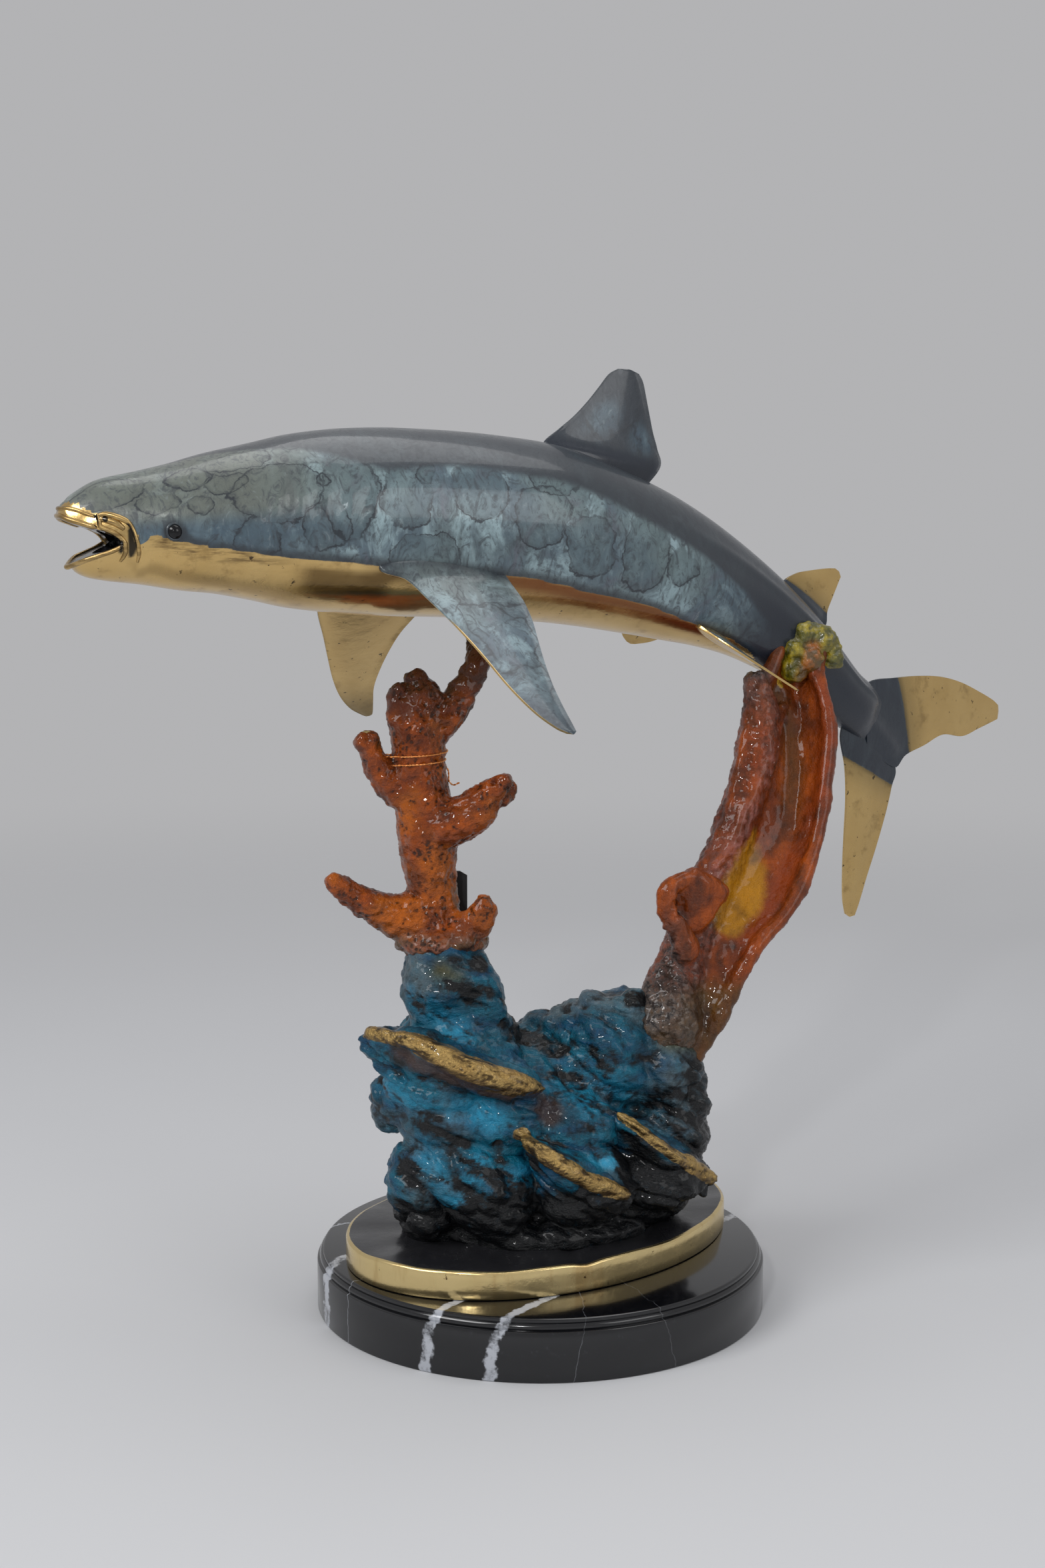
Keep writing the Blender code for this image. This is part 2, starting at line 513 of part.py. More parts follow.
def smooth_path(points, steps):
    """Evenly divided Catmull-Rom path through points given as vectors."""
    rows = []
    dist = 0.0
    for i, p in enumerate(points):
        if i:
            dist += (p - points[i - 1]).length
        rows.append((dist, p.x, p.y, p.z))
    return [Vector(spline(rows, dist * k / steps)) for k in range(steps + 1)]


def revolve(bm, profile, sides, centre=(0.0, 0.0)):
    """Turned solid from a profile of (radius, z), lowest point first, on the axis at both ends."""
    rings = []
    for r, z in profile[1:-1]:
        rings.append([Vector((centre[0] + r * cos(2 * pi * k / sides), centre[1] + r * sin(2 * pi * k / sides), z))
                      for k in range(sides)])
    loft(bm, rings)


def cylinder(radius, bottom, top, centre, sides=24):
    bm = bmesh.new()
    revolve(bm, [(0, bottom), (radius, bottom), (radius, top), (0, top)], sides, centre)
    return bm


def bolt_centres():
    a = radians(PLINTH_TURN)
    return [(side * BOLT_SPACING / 2 * cos(a), side * BOLT_SPACING / 2 * sin(a)) for side in (-1, 1)]


def make_marble(mat):
    radius = MARBLE_DIAMETER / 2
    wall_top = MARBLE_HEIGHT - MARBLE_EDGE_HEIGHT
    h = MARBLE_EDGE_HEIGHT
    d = MARBLE_EDGE_DEPTH
    profile = [(0, 0), (radius - MARBLE_CHAMFER, 0), (radius, MARBLE_CHAMFER), (radius, wall_top),
               (radius - 0.10 * d, wall_top + 0.06 * h), (radius - 0.42 * d, wall_top + 0.12 * h),
               (radius - 0.34 * d, wall_top + 0.34 * h), (radius - 0.46 * d, wall_top + 0.56 * h),
               (radius - 0.78 * d, wall_top + 0.64 * h), (radius - 0.74 * d, wall_top + 0.86 * h),
               (radius - d, MARBLE_HEIGHT), (0, MARBLE_HEIGHT)]
    bm = bmesh.new()
    revolve(bm, profile, 64)
    marble = add_object("marble_base", bm, mat)
    for centre in bolt_centres():
        hole = cylinder(BOLT_DIAMETER / 2 + GAP, -0.01, MARBLE_HEIGHT + 0.01, centre)
        boolean(marble, add_object("hole", hole), "DIFFERENCE")
        bore = cylinder(COUNTERBORE_DIAMETER / 2, -0.01, COUNTERBORE_DEPTH, centre)
        boolean(marble, add_object("bore", bore), "DIFFERENCE")
    return marble


def oval(length, width, grow=0.0, sides=60):
    """Slightly uneven oval, fuller at the front left as the hand-finished casting is."""
    out = []
    turn = radians(PLINTH_TURN)
    for k in range(sides):
        a = 2 * pi * k / sides
        wobble = 1 + 0.012 * cos(2 * a + 0.7) + 0.010 * cos(3 * a - 0.4)
        x = (length / 2 * wobble + grow) * cos(a)
        y = (width / 2 * wobble + grow) * sin(a)
        out.append((x * cos(turn) - y * sin(turn), x * sin(turn) + y * cos(turn)))
    return out


def make_plinth():
    bm = bmesh.new()
    rings = []
    for grow, z in ((-PLINTH_EDGE, Z_FOOT), (0, Z_FOOT + PLINTH_EDGE), (0, Z_TOP - PLINTH_EDGE),
                    (-PLINTH_EDGE, Z_TOP)):
        rings.append([Vector((x, y, z)) for x, y in oval(PLINTH_LENGTH, PLINTH_WIDTH, grow)])
    loft(bm, rings)
    return add_object("plinth", bm)


def blob(bm, centre, radii, level=2):
    made = bmesh.ops.create_icosphere(bm, subdivisions=level, radius=1.0)
    for v in made["verts"]:
        v.co = Vector((centre[0] + v.co.x * radii[0], centre[1] + v.co.y * radii[1], centre[2] + v.co.z * radii[2]))


def merge(bm, other):
    """Add another bmesh's faces to bm."""
    mesh = bpy.data.meshes.new("merge")
    other.to_mesh(mesh)
    other.free()
    bm.from_mesh(mesh)
    bpy.data.meshes.remove(mesh)


def branch_seat():
    return body_point(BRANCH_SEAT_S, 262)


def weld_point():
    return body_point(WELD_S, 352)


def limb(rows, base, rise=1.0, end=None):
    """Tapered limb through rows of x, y, z, radius."""
    points = [Vector((x, y, base + z * rise)) for x, y, z, r in rows]
    radii = [r for x, y, z, r in rows]
    if end is not None:
        points += end[0]
        radii += end[1]
    steps = 4 * (len(points) - 1)
    path = smooth_path(points, steps)
    dist = [0.0]
    for a, b in zip(points, points[1:]):
        dist.append(dist[-1] + (b - a).length)
    table = [(d, r) for d, r in zip(dist, radii)]
    return tube_mesh(path, [spline(table, dist[-1] * k / steps)[0] for k in range(steps + 1)], 12)


def kelp_mesh(foot, top):
    """Folded frond: a bent strip with the fold set back from its two edges."""
    bm = bmesh.new()
    rings = []
    for share, xl, xf, xr, yl, yf, yr in KELP:
        z = foot + (top - foot) * share
        left = Vector((xl, yl, z + 0.003))
        fold = Vector((xf, yf, z))
        right = Vector((xr, yr, z + 0.003))
        front = [left, left.lerp(fold, 0.5) + Vector((0, 0.003, 0)), fold,
                 fold.lerp(right, 0.5) + Vector((0, 0.002, 0)), right]
        back = [p + Vector((0.0, KELP_THICKNESS, 0.0)) for p in reversed(front)]
        rings.append(front + back)
    loft(bm, rings)
    # both borders are rolled, thicker than the blade between them
    for side in (1, 3):
        rim = []
        for row in KELP:
            inset = 0.003 if side == 1 else -0.003
            rim.append((row[side] + inset, row[side + 3] + 0.004, row[0], KELP_RIM_RADIUS))
        merge(bm, limb(rim, foot, top - foot))
    return bm


def slab_mesh(points, base):
    """Ledge of rock: an outline on a slope, thickened downward and rounded by the remesh."""
    bm = bmesh.new()
    top = [Vector((x, y, base + z)) for x, y, z in points]
    mid = sum(top, Vector()) / len(top)
    low = [p.lerp(mid, SLAB_TAPER) - Vector((0, 0, SLAB_THICKNESS)) for p in top]
    bmesh.ops.convex_hull(bm, input=[bm.verts.new(p) for p in top + low])
    loose = [v for v in bm.verts if not v.link_faces]
    bmesh.ops.delete(bm, geom=loose, context="VERTS")
    return bm


def relief(point):
    """How far the reef's skin stands out at a point."""
    a = radians(LAYER_DIP)
    along = point.x * cos(a) - point.z * sin(a)
    through = point.x * sin(a) + point.z * cos(a)
    bend = noise.noise_vector(point / 0.050) * 0.6
    place = Vector((along / BLOCK_LENGTH, point.y / BLOCK_DEPTH, through / BLOCK_THICKNESS)) + bend
    near, cells = noise.voronoi(place)
    rim = min((near[1] - near[0]) / 0.30, 1.0)
    blocks = BLOCK_HEIGHT * (rim ** 0.7 - 0.7) + BLOCK_STEP * rim * noise.noise(cells[0] * 3.7)
    lumps = LUMP_HEIGHT * noise.noise(point / LUMP_SIZE)
    limb_start = Z_TOP + KELP_FOOT + 0.030
    limb = min(max((point.z - limb_start) / 0.030, 0.0), 1.0)
    calm = min(max((Z_AXIS - 0.075 - point.z) / 0.030, 0.0), 1.0)
    return calm * (SWELL_HEIGHT * (1 - 0.7 * limb) * noise.noise(point / SWELL_SIZE) + blocks * (1 - limb) + lumps * limb)


def make_reef(mat, shark):
    bm = bmesh.new()
    for x, y, z, rx, ry, rz in ROCK + NODULES:
        blob(bm, (x, y, Z_TOP + z), (rx, ry, rz))
    for rows in LEDGE_EDGES:
        merge(bm, limb(rows, Z_TOP))
    for x, y, z, r in KNOBS:
        blob(bm, (x, y, Z_TOP + z), (r, r, 0.8 * r))
    for rows in SLABS:
        merge(bm, slab_mesh(rows, Z_TOP))
    seat = branch_seat()
    under = seat - Vector((0, 0, 0.016))
    merge(bm, limb(TRUNK, Z_TOP))
    merge(bm, limb(BRANCH, Z_TOP, 1.0, ([under, seat + Vector((0, 0, 0.006))],
                                         [BRANCH_SEAT_RADIUS * 0.92, BRANCH_SEAT_RADIUS * 1.25])))
    for rows in STUBS:
        merge(bm, limb(rows, Z_TOP))
    x, y, z, rx, ry, rz = CROWN
    blob(bm, (x, y, Z_TOP + z), (rx, ry, rz))
    foot = Z_TOP + KELP_FOOT
    weld = weld_point()
    top = weld.z + KELP_TOP_DROP
    merge(bm, kelp_mesh(foot, top))
    merge(bm, limb([(x, y, z, r) for x, y, z, r in KELP_BACK], foot, top - foot))
    merge(bm, limb([(x, y, z, r) for x, y, z, r in KELP_LIP], foot, top - foot))
    merge(bm, limb([(x, y, z, r) for x, y, z, r in KELP_RIDGE], foot, top - foot))
    x, y, share, rx, ry, rz = KELP_BOWL
    blob(bm, (x, y, foot + (top - foot) * share), (rx, ry, rz))
    for x, z, r in WELD:
        blob(bm, (weld.x + x, weld.y - 0.003 + 0.3 * x, weld.z + z), (r, r, r))
    reef = add_object("reef_casting", bm, mat)
    skin = reef.modifiers.new("skin", "REMESH")
    skin.mode = "VOXEL"
    skin.voxel_size = REEF_VOXEL
    skin.use_smooth_shade = True
    relax = reef.modifiers.new("relax", "SMOOTH")
    relax.iterations = 2
    relax.factor = 0.5
    bake(reef)
    raised = [v.co + v.normal * relief(v.co) for v in reef.data.vertices]
    for v, place in zip(reef.data.vertices, raised):
        v.co = place
    thin = reef.modifiers.new("thin", "DECIMATE")
    thin.ratio = REEF_FACES / sum(len(f.vertices) - 2 for f in reef.data.polygons)
    bake(reef)
    # the plinth stays crisp, so it joins after the remesh
    lower = add_object("cut", cylinder(0.5, Z_TOP - 0.30, Z_TOP - PLINTH_EDGE - 0.002, (0, 0), 8))
    boolean(reef, lower, "DIFFERENCE")
    boolean(reef, make_plinth(), "UNION")
    # recess under the plinth, with a boss left round each bolt
    recess = bmesh.new()
    loft(recess, [[Vector((x, y, z)) for x, y in oval(PLINTH_LENGTH, PLINTH_WIDTH, -PLINTH_WALL, 40)]
                  for z in (Z_FOOT - 0.01, Z_FOOT + PLINTH_RECESS)])
    recess = add_object("recess", recess)
    for centre in bolt_centres():
        boss = add_object("boss", cylinder(BOSS_DIAMETER / 2, Z_FOOT - 0.02, Z_TOP, centre))
        boolean(recess, boss, "DIFFERENCE")
    boolean(reef, recess, "DIFFERENCE")
    for centre in bolt_centres():
        hole = cylinder(BOLT_DIAMETER / 2 + GAP, Z_FOOT - 0.01, Z_FOOT + BOLT_ENGAGEMENT + 2 * GAP, centre)
        boolean(reef, add_object("hole", hole), "DIFFERENCE")
    # seats: the reef gives way to the shark's skin by the gap
    form = bmesh.new()
    form.from_mesh(shark.data)
    form.normal_update()
    for v in form.verts:
        v.co += v.normal * GAP * 1.6
    boolean(reef, add_object("seat", form), "DIFFERENCE")
    return reef


def make_shark(mat, mat_eye):
    shark = add_object("shark_casting", body_mesh(), mat)
    fins = {
        "dorsal": (body_point(DORSAL_S, 90), fin_axes(27.2, 11.3, 0), DORSAL_LEAD, DORSAL_TRAIL,
                   DORSAL_THICKNESS, 0.0),
        "second": (body_point(SECOND_DORSAL_S, 90), fin_axes(36.5, 33.0, 0), SECOND_LEAD, SECOND_TRAIL,
                   SECOND_DORSAL_THICKNESS, 0.0),
        "upper": (body_axis(BODY_LENGTH - 0.0035), fin_axes(40.0, 38.7, 0), UPPER_LEAD, UPPER_TRAIL,
                  TAIL_FIN_THICKNESS, 0.0),
        "lower": (body_axis(BODY_LENGTH - 0.0035), fin_axes(40.0, 38.7, 180), LOWER_LEAD, LOWER_TRAIL,
                  TAIL_FIN_THICKNESS, 0.0),
        "pectoral": (body_point(PECTORAL_S, 334), fin_axes(25.4, 4.6, 130.3), PECTORAL_LEAD, PECTORAL_TRAIL,
                     PECTORAL_THICKNESS, 0.0),
        "pectoral_far": (body_point(PECTORAL_S - 0.0045, 219, 0.011), fin_axes(25.4, 4.6, -131.5), FAR_PECTORAL_LEAD,
                         FAR_PECTORAL_TRAIL, PECTORAL_THICKNESS, 0.0),
        "pelvic": (body_point(PELVIC_S, 318), fin_axes(16.2, 32.0, 97.0), PELVIC_LEAD, PELVIC_TRAIL,
                   PELVIC_THICKNESS, 0.0),
        "pelvic_far": (body_point(PELVIC_S - 0.021, 228), fin_axes(30.0, 17.0, -138.0), FAR_PELVIC_LEAD,
                       FAR_PELVIC_TRAIL, PELVIC_THICKNESS, 0.0),
    }
    for name, (origin, axes, lead, trail, thickness, droop) in fins.items():
        fin = add_object(name, fin_mesh(origin, axes, lead, trail, thickness, 5, droop))
        boolean(shark, fin, "UNION")
    # mouth: a wedge through both cheeks and a hollow throat behind it
    profile = MOUTH_ROOF + [MOUTH_CORNER] + MOUTH_FLOOR
    wedge = bmesh.new()
    rings = []
    for side in (-1, 1):
        ring = []
        for s, z in profile:
            centre, left, up, aft, hh, hw = body_frame(0.02)
            x, y = plan_point(s)
            ring.append(Vector((x, y, Z_AXIS + z)) + left * side * 0.045)
        rings.append(ring)
    loft(wedge, rings)
    boolean(shark, add_object("mouth", wedge), "DIFFERENCE")
    throat = bmesh.new()
    blob(throat, (0, 0, 0), (0.017, 0.0125, 0.0085), 2)
    a = heading(0.03)
    x, y = plan_point(0.031)
    for v in throat.verts:
        p = v.co.copy()
        v.co = Vector((x + p.x * cos(a) - p.y * sin(a), y + p.x * sin(a) + p.y * cos(a), Z_AXIS - 0.0075 + p.z))
    boolean(shark, add_object("throat", throat), "DIFFERENCE")
    # lips follow the cut's edges round the snout and the jaw
    for edge, near in ((MOUTH_ROOF[2:] + [MOUTH_CORNER], 0.0012), (MOUTH_FLOOR[3::-1] + [MOUTH_CORNER], 0.0)):
        left_side = [head_point(s, 1, z) for s, z in edge]
        right_side = [head_point(s, -1, z) for s, z in edge]
        path = smooth_path(right_side[::-1] + left_side, 22)
        boolean(shark, add_object("lip", tube_mesh(path, [LIP_RADIUS] * len(path), 6)), "UNION")
    for angle in (358, 182):
        bm = bmesh.new()
        at = body_point(EYE_S, angle, -EYE_DIAMETER * 0.22)
        blob(bm, at, (EYE_DIAMETER / 2,) * 3, 2)
        boolean(shark, add_object("eye", bm), "UNION")
    for side in (0, 180):
        for k in range(GILL_COUNT):
            s = GILL_S + GILL_PITCH * k
            rise = [24, 14, 4, -6, -16, -22]
            angles = [a if side == 0 else 180 - a for a in rise]
            lean = [0.0045, 0.003, 0.001, -0.001, -0.002, -0.0025]
            path = [body_point(s + d, a) for a, d in zip(angles, lean)]
            radii = [GILL_DEPTH * w for w in (0.3, 0.9, 1.0, 1.0, 0.9, 0.3)]
            boolean(shark, add_object("gill", tube_mesh(path, radii, 5)), "DIFFERENCE")
    return shark


def trunk_axis(z):
    """Middle of the coral trunk at a world height."""
    rows = [(row[2], row[0], row[1], row[3]) for row in TRUNK]
    x, y, r = spline(rows, z - Z_TOP)
    return Vector((x, y, z)), r


def trunk_hit(tree, angle, z):
    """Point on the coral trunk's skin at a height, looking in from just outside it."""
    middle, r = trunk_axis(z)
    out = Vector((cos(angle), sin(angle), 0.0))
    hit = tree.ray_cast(middle + out * (r + 0.0022), -out, r + 0.001)
    return (hit[0] if hit[0] is not None else middle + out * r), out


def tag_spot():
    """Middle of the tag's top edge, on its front face, just behind the trunk."""
    middle, r = trunk_axis(Z_TOP + TAG_TOP - TAG_LENGTH / 2)
    return Vector((middle.x + TAG_SIDE, middle.y + r + 0.0045, Z_TOP + TAG_TOP))


def tag_hole():
    return tag_spot() - Vector((0.0, 0.0, TAG_HOLE / 2 + 0.0025))


def wire_path(reef):
    bm = bmesh.new()
    bm.from_mesh(reef.data)
    tree = BVHTree.FromBMesh(bm)
    bm.free()
    radius = WIRE_DIAMETER / 2
    hole = tag_hole()
    # the hook sits in the top of the tag's hole, its end turned up behind
    seat = hole + Vector((0.0, TAG_THICKNESS / 2, TAG_HOLE / 2 - radius - GAP))
    points = [seat + Vector((0.0, 0.0034, 0.0032)), seat + Vector((0.0, 0.0026, 0.0008)), seat,
              seat + Vector((0.0, -0.0024, 0.0008)), seat + Vector((-0.0006, -0.0032, 0.0034))]
    top = Z_TOP + BRANCH[0][2] - TIE_DROP + TIE_TURN_RISE / 2
    for k in range(1, 8):
        share = k / 8
        z = points[4].z + (top - points[4].z) * share
        middle, r = trunk_axis(z)
        x = points[4].x + (middle.x - points[4].x) * share
        y = points[4].y + (middle.y + r + 0.0016 - points[4].y) * min(1.0, 1.6 * share)
        points.append(Vector((x, y, z)))
    steps = 40
    for k in range(steps + 1):
        a = pi / 2 - 2 * pi * TIE_TURNS * k / steps
        z = top - TIE_TURN_RISE * k / steps
        hit, out = trunk_hit(tree, a, z)
        points.append(hit + out * radius * 0.4)
    # the free end is bent down beside the trunk and out
    end = points[-1]
    points += [end + Vector((0.0016, -0.0004, -0.0030)), end + Vector((0.0018, -0.0006, -0.0085)),
               end + Vector((0.0044, -0.0008, -0.0112)), end + Vector((0.0082, -0.0010, -0.0098))]
    return points


def make_tag(mat):
    spot = tag_spot()
    half = TAG_WIDTH / 2
    outline = [(-half, -TAG_LENGTH), (half, -TAG_LENGTH), (half, -TAG_CLIP * 0.6), (half - TAG_CLIP, 0),
               (-half + TAG_CLIP, 0), (-half, -TAG_CLIP * 0.6)]
    bm = bmesh.new()
    loft(bm, [[Vector((spot.x + x, spot.y + d, spot.z + z)) for x, z in outline] for d in (0, TAG_THICKNESS)])
    tag = add_object("hang_tag", bm, mat)
    hole = tag_hole()
    tool = bmesh.new()
    loft(tool, [[Vector((hole.x + TAG_HOLE / 2 * cos(2 * pi * k / 16), hole.y + d,
                         hole.z + TAG_HOLE / 2 * sin(2 * pi * k / 16))) for k in range(16)]
                for d in (-0.002, TAG_THICKNESS + 0.002)])
    return boolean(tag, add_object("hole", tool), "DIFFERENCE")


def build():
    clear_scene()
    marble_mat = material("marble", (0.012, 0.013, 0.016), 0.12, 0.0)
    reef_mat = material("reef_patina", (0.10, 0.16, 0.17), 0.35, 0.6)
    shark_mat = material("shark_patina", (0.16, 0.18, 0.18), 0.28, 0.7)
    steel = material("steel", (0.50, 0.50, 0.50), 0.30, 1.0)
    copper = material("copper", (0.80, 0.38, 0.22), 0.30, 1.0)
    card = material("tag_black", (0.010, 0.010, 0.010), 0.55, 0.0)

    make_marble(marble_mat)
    shark = make_shark(shark_mat, shark_mat)
    reef = make_reef(reef_mat, shark)

    for name, centre in zip(("left", "right"), bolt_centres()):
        under = COUNTERBORE_DEPTH - GAP
        bm = cylinder(WASHER_DIAMETER / 2, under - WASHER_THICKNESS, under, centre)
        washer = add_object("washer_" + name, bm, steel)
        hole = cylinder(BOLT_DIAMETER / 2 + GAP, -0.01, 0.05, centre)
        boolean(washer, add_object("hole", hole), "DIFFERENCE")
        seat = under - WASHER_THICKNESS - GAP
        bm = cylinder(BOLT_HEAD_WIDTH / 2 / cos(pi / 6), seat - BOLT_HEAD_HEIGHT, seat, centre, 6)
        bolt = add_object("bolt_" + name, bm, steel)
        shank = cylinder(BOLT_DIAMETER / 2, seat - 0.001, Z_FOOT + BOLT_ENGAGEMENT, centre, 24)
        boolean(bolt, add_object("shank", shank), "UNION")

    path = wire_path(reef)
    fat = tube_mesh(path, [WIRE_DIAMETER / 2 + GAP] * len(path), 8)
    boolean(reef, add_object("groove", fat), "DIFFERENCE")
    add_object("wire_tie", tube_mesh(path, [WIRE_DIAMETER / 2] * len(path), 6), copper)
    make_tag(card)
    for obj in bpy.data.objects:
        obj.data.shade_smooth()
        obj.data.set_sharp_from_angle(angle=radians(38))


build()
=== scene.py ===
"""Shark over a reef in patinated bronze, on a black marble base.

The castings are shaped here at full fineness over the plain solids, painted by place and lit for a plain
studio view.
"""
import bpy
import bmesh
import numpy as np
from math import atan2, cos, exp, pi, radians, sin
from mathutils import Matrix, Vector, noise
from mathutils.bvhtree import BVHTree


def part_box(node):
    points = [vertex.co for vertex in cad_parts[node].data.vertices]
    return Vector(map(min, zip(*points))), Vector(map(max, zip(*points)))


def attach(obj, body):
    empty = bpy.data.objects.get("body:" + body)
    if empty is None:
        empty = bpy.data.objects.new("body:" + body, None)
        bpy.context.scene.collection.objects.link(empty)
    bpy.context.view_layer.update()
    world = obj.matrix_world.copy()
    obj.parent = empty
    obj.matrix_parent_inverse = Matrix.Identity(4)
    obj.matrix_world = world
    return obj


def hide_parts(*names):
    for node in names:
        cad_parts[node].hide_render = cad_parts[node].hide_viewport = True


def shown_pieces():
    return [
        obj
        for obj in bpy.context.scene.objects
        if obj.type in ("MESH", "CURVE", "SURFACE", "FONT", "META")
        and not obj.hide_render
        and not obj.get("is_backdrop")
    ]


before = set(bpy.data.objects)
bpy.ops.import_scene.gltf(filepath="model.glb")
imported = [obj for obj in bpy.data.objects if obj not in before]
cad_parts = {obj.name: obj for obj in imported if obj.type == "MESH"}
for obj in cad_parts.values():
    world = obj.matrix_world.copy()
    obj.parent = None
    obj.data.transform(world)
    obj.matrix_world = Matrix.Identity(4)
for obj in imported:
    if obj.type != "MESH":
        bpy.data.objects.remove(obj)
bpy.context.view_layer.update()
noise.seed_set(1)  # the same rock in every run

# Base, plinth and the heights over them
MARBLE_RADIUS = 0.140
MARBLE_HEIGHT = 0.0375
PLINTH_HALF_LENGTH = 0.131
PLINTH_HALF_WIDTH = 0.093
PLINTH_TURN = radians(39.0)
BOLT_REACH = 0.055
BOLTS = [(way * BOLT_REACH * cos(PLINTH_TURN), way * BOLT_REACH * sin(PLINTH_TURN)) for way in (-1, 1)]
Z_FOOT = 0.0378
Z_TOP = 0.0558
Z_AXIS = Z_TOP + 0.430
KELP_FOOT = Z_TOP + 0.101

# Shark: distance from the snout, axis height, half height, half width
STATIONS = [
    (0.000, 0.0089, 0.0022, 0.0035), (0.002, 0.0060, 0.0080, 0.0090), (0.005, -0.0010, 0.0175, 0.0130),
    (0.0105, -0.0020, 0.0230, 0.0165), (0.023, -0.0005, 0.0280, 0.0210), (0.046, 0.0005, 0.0320, 0.0280),
    (0.0685, 0.0010, 0.0365, 0.0340), (0.089, 0.0025, 0.0405, 0.0380), (0.111, 0.0030, 0.0450, 0.0415),
    (0.1335, 0.0030, 0.0500, 0.0445), (0.162, 0.0030, 0.0535, 0.0475), (0.1955, 0.0020, 0.0555, 0.0495),
    (0.230, 0.0005, 0.0555, 0.0500), (0.264, -0.0020, 0.0550, 0.0495), (0.2965, -0.0060, 0.0540, 0.0475),
    (0.330, -0.0140, 0.0505, 0.0440), (0.364, -0.0240, 0.0465, 0.0390), (0.3945, -0.0350, 0.0415, 0.0340),
    (0.419, -0.0450, 0.0365, 0.0295), (0.445, -0.0575, 0.0315, 0.0250), (0.470, -0.0720, 0.0275, 0.0215),
    (0.492, -0.0870, 0.0240, 0.0185), (0.5115, -0.1030, 0.0210, 0.0165), (0.5285, -0.1165, 0.0190, 0.0150),
    (0.5455, -0.1270, 0.0182, 0.0120), (0.558, -0.1355, 0.0160, 0.0048),
]
BODY_LENGTH = 0.5455
BODY_END = STATIONS[-1][0]
PLAN_MIDDLE = (0.2745, -0.020, 0.004)    # distance from the snout and place in plan that the swim curve starts at
EYE_DISTANCE = 0.058
EYE_ANGLES = (358, 182)
EYE_RADIUS = 0.0046
SECTION_POWER = 2.15
MOUTH_ROOF = [(-0.012, 0.0090), (0.000, 0.0078), (0.003, 0.0056), (0.012, 0.0022), (0.022, -0.0006),
              (0.029, -0.0040)]
MOUTH_CORNER = (0.0318, -0.0075)
MOUTH_FLOOR = [(0.029, -0.0098), (0.0235, -0.0118), (0.012, -0.0160), (0.004, -0.0205), (-0.012, -0.0235)]
# Where the dark patina gives way to gold: distance from the snout, angle under the side
PATINA_EDGE = [
    (0.000, 80), (0.003, 75), (0.011, 37), (0.017, 23), (0.023, 18), (0.029, 13), (0.033, 8), (0.037, 0),
    (0.040, -15), (0.045, -5), (0.051, -6), (0.057, -10), (0.071, -13), (0.077, -16), (0.105, -21), (0.133, -22),
    (0.163, -24), (0.257, -28), (0.281, -30), (0.315, -34), (0.347, -34), (0.371, -36), (0.401, -42),
    (0.433, -47), (0.452, -56), (0.468, -78), (0.480, -100), (0.560, -110),
]

# Lower edge of the charcoal back: distance from the snout, angle above the side
BACK_EDGE = [(0.00, 96), (0.06, 88), (0.10, 72), (0.14, 52), (0.165, 38), (0.179, 32), (0.223, 37), (0.261, 34),
             (0.289, 32), (0.321, 27), (0.361, 20), (0.387, 16), (0.420, 6), (0.450, -10), (0.470, -60),
             (0.560, -110)]
# Run-down patches that the patina left on the flank: distance of the centre from the snout and its angle, half
# length in mm and half height in degrees, how much of the upper half shows
DRIPS = [
    (0.115, 23, 26, 22, 0.9), (0.157, 18, 16, 26, 0.7), (0.142, 27, 4, 5, 1.0), (0.143, -1, 14, 15, 0.9),
    (0.103, -10, 13, 13, 0.9), (0.074, 18, 8, 7, 0.5), (0.050, 24, 12, 10, 0.6), (0.189, 16, 15, 18, 0.5),
    (0.203, -18, 22, 15, 1.0), (0.235, 22, 18, 19, 0.4), (0.275, 9, 18, 18, 0.9), (0.309, -4, 17, 18, 0.7),
    (0.347, 0, 16, 26, 0.3), (0.374, 0, 10, 12, 0.3), (0.202, 30, 6, 6, 0.9), (0.283, 32, 15, 10, 0.3),
    (0.022, 48, 22, 24, 1.0), (0.070, 46, 13, 14, 1.0), (0.098, 56, 19, 11, 1.0), (0.088, 34, 11, 9, 0.9),
]

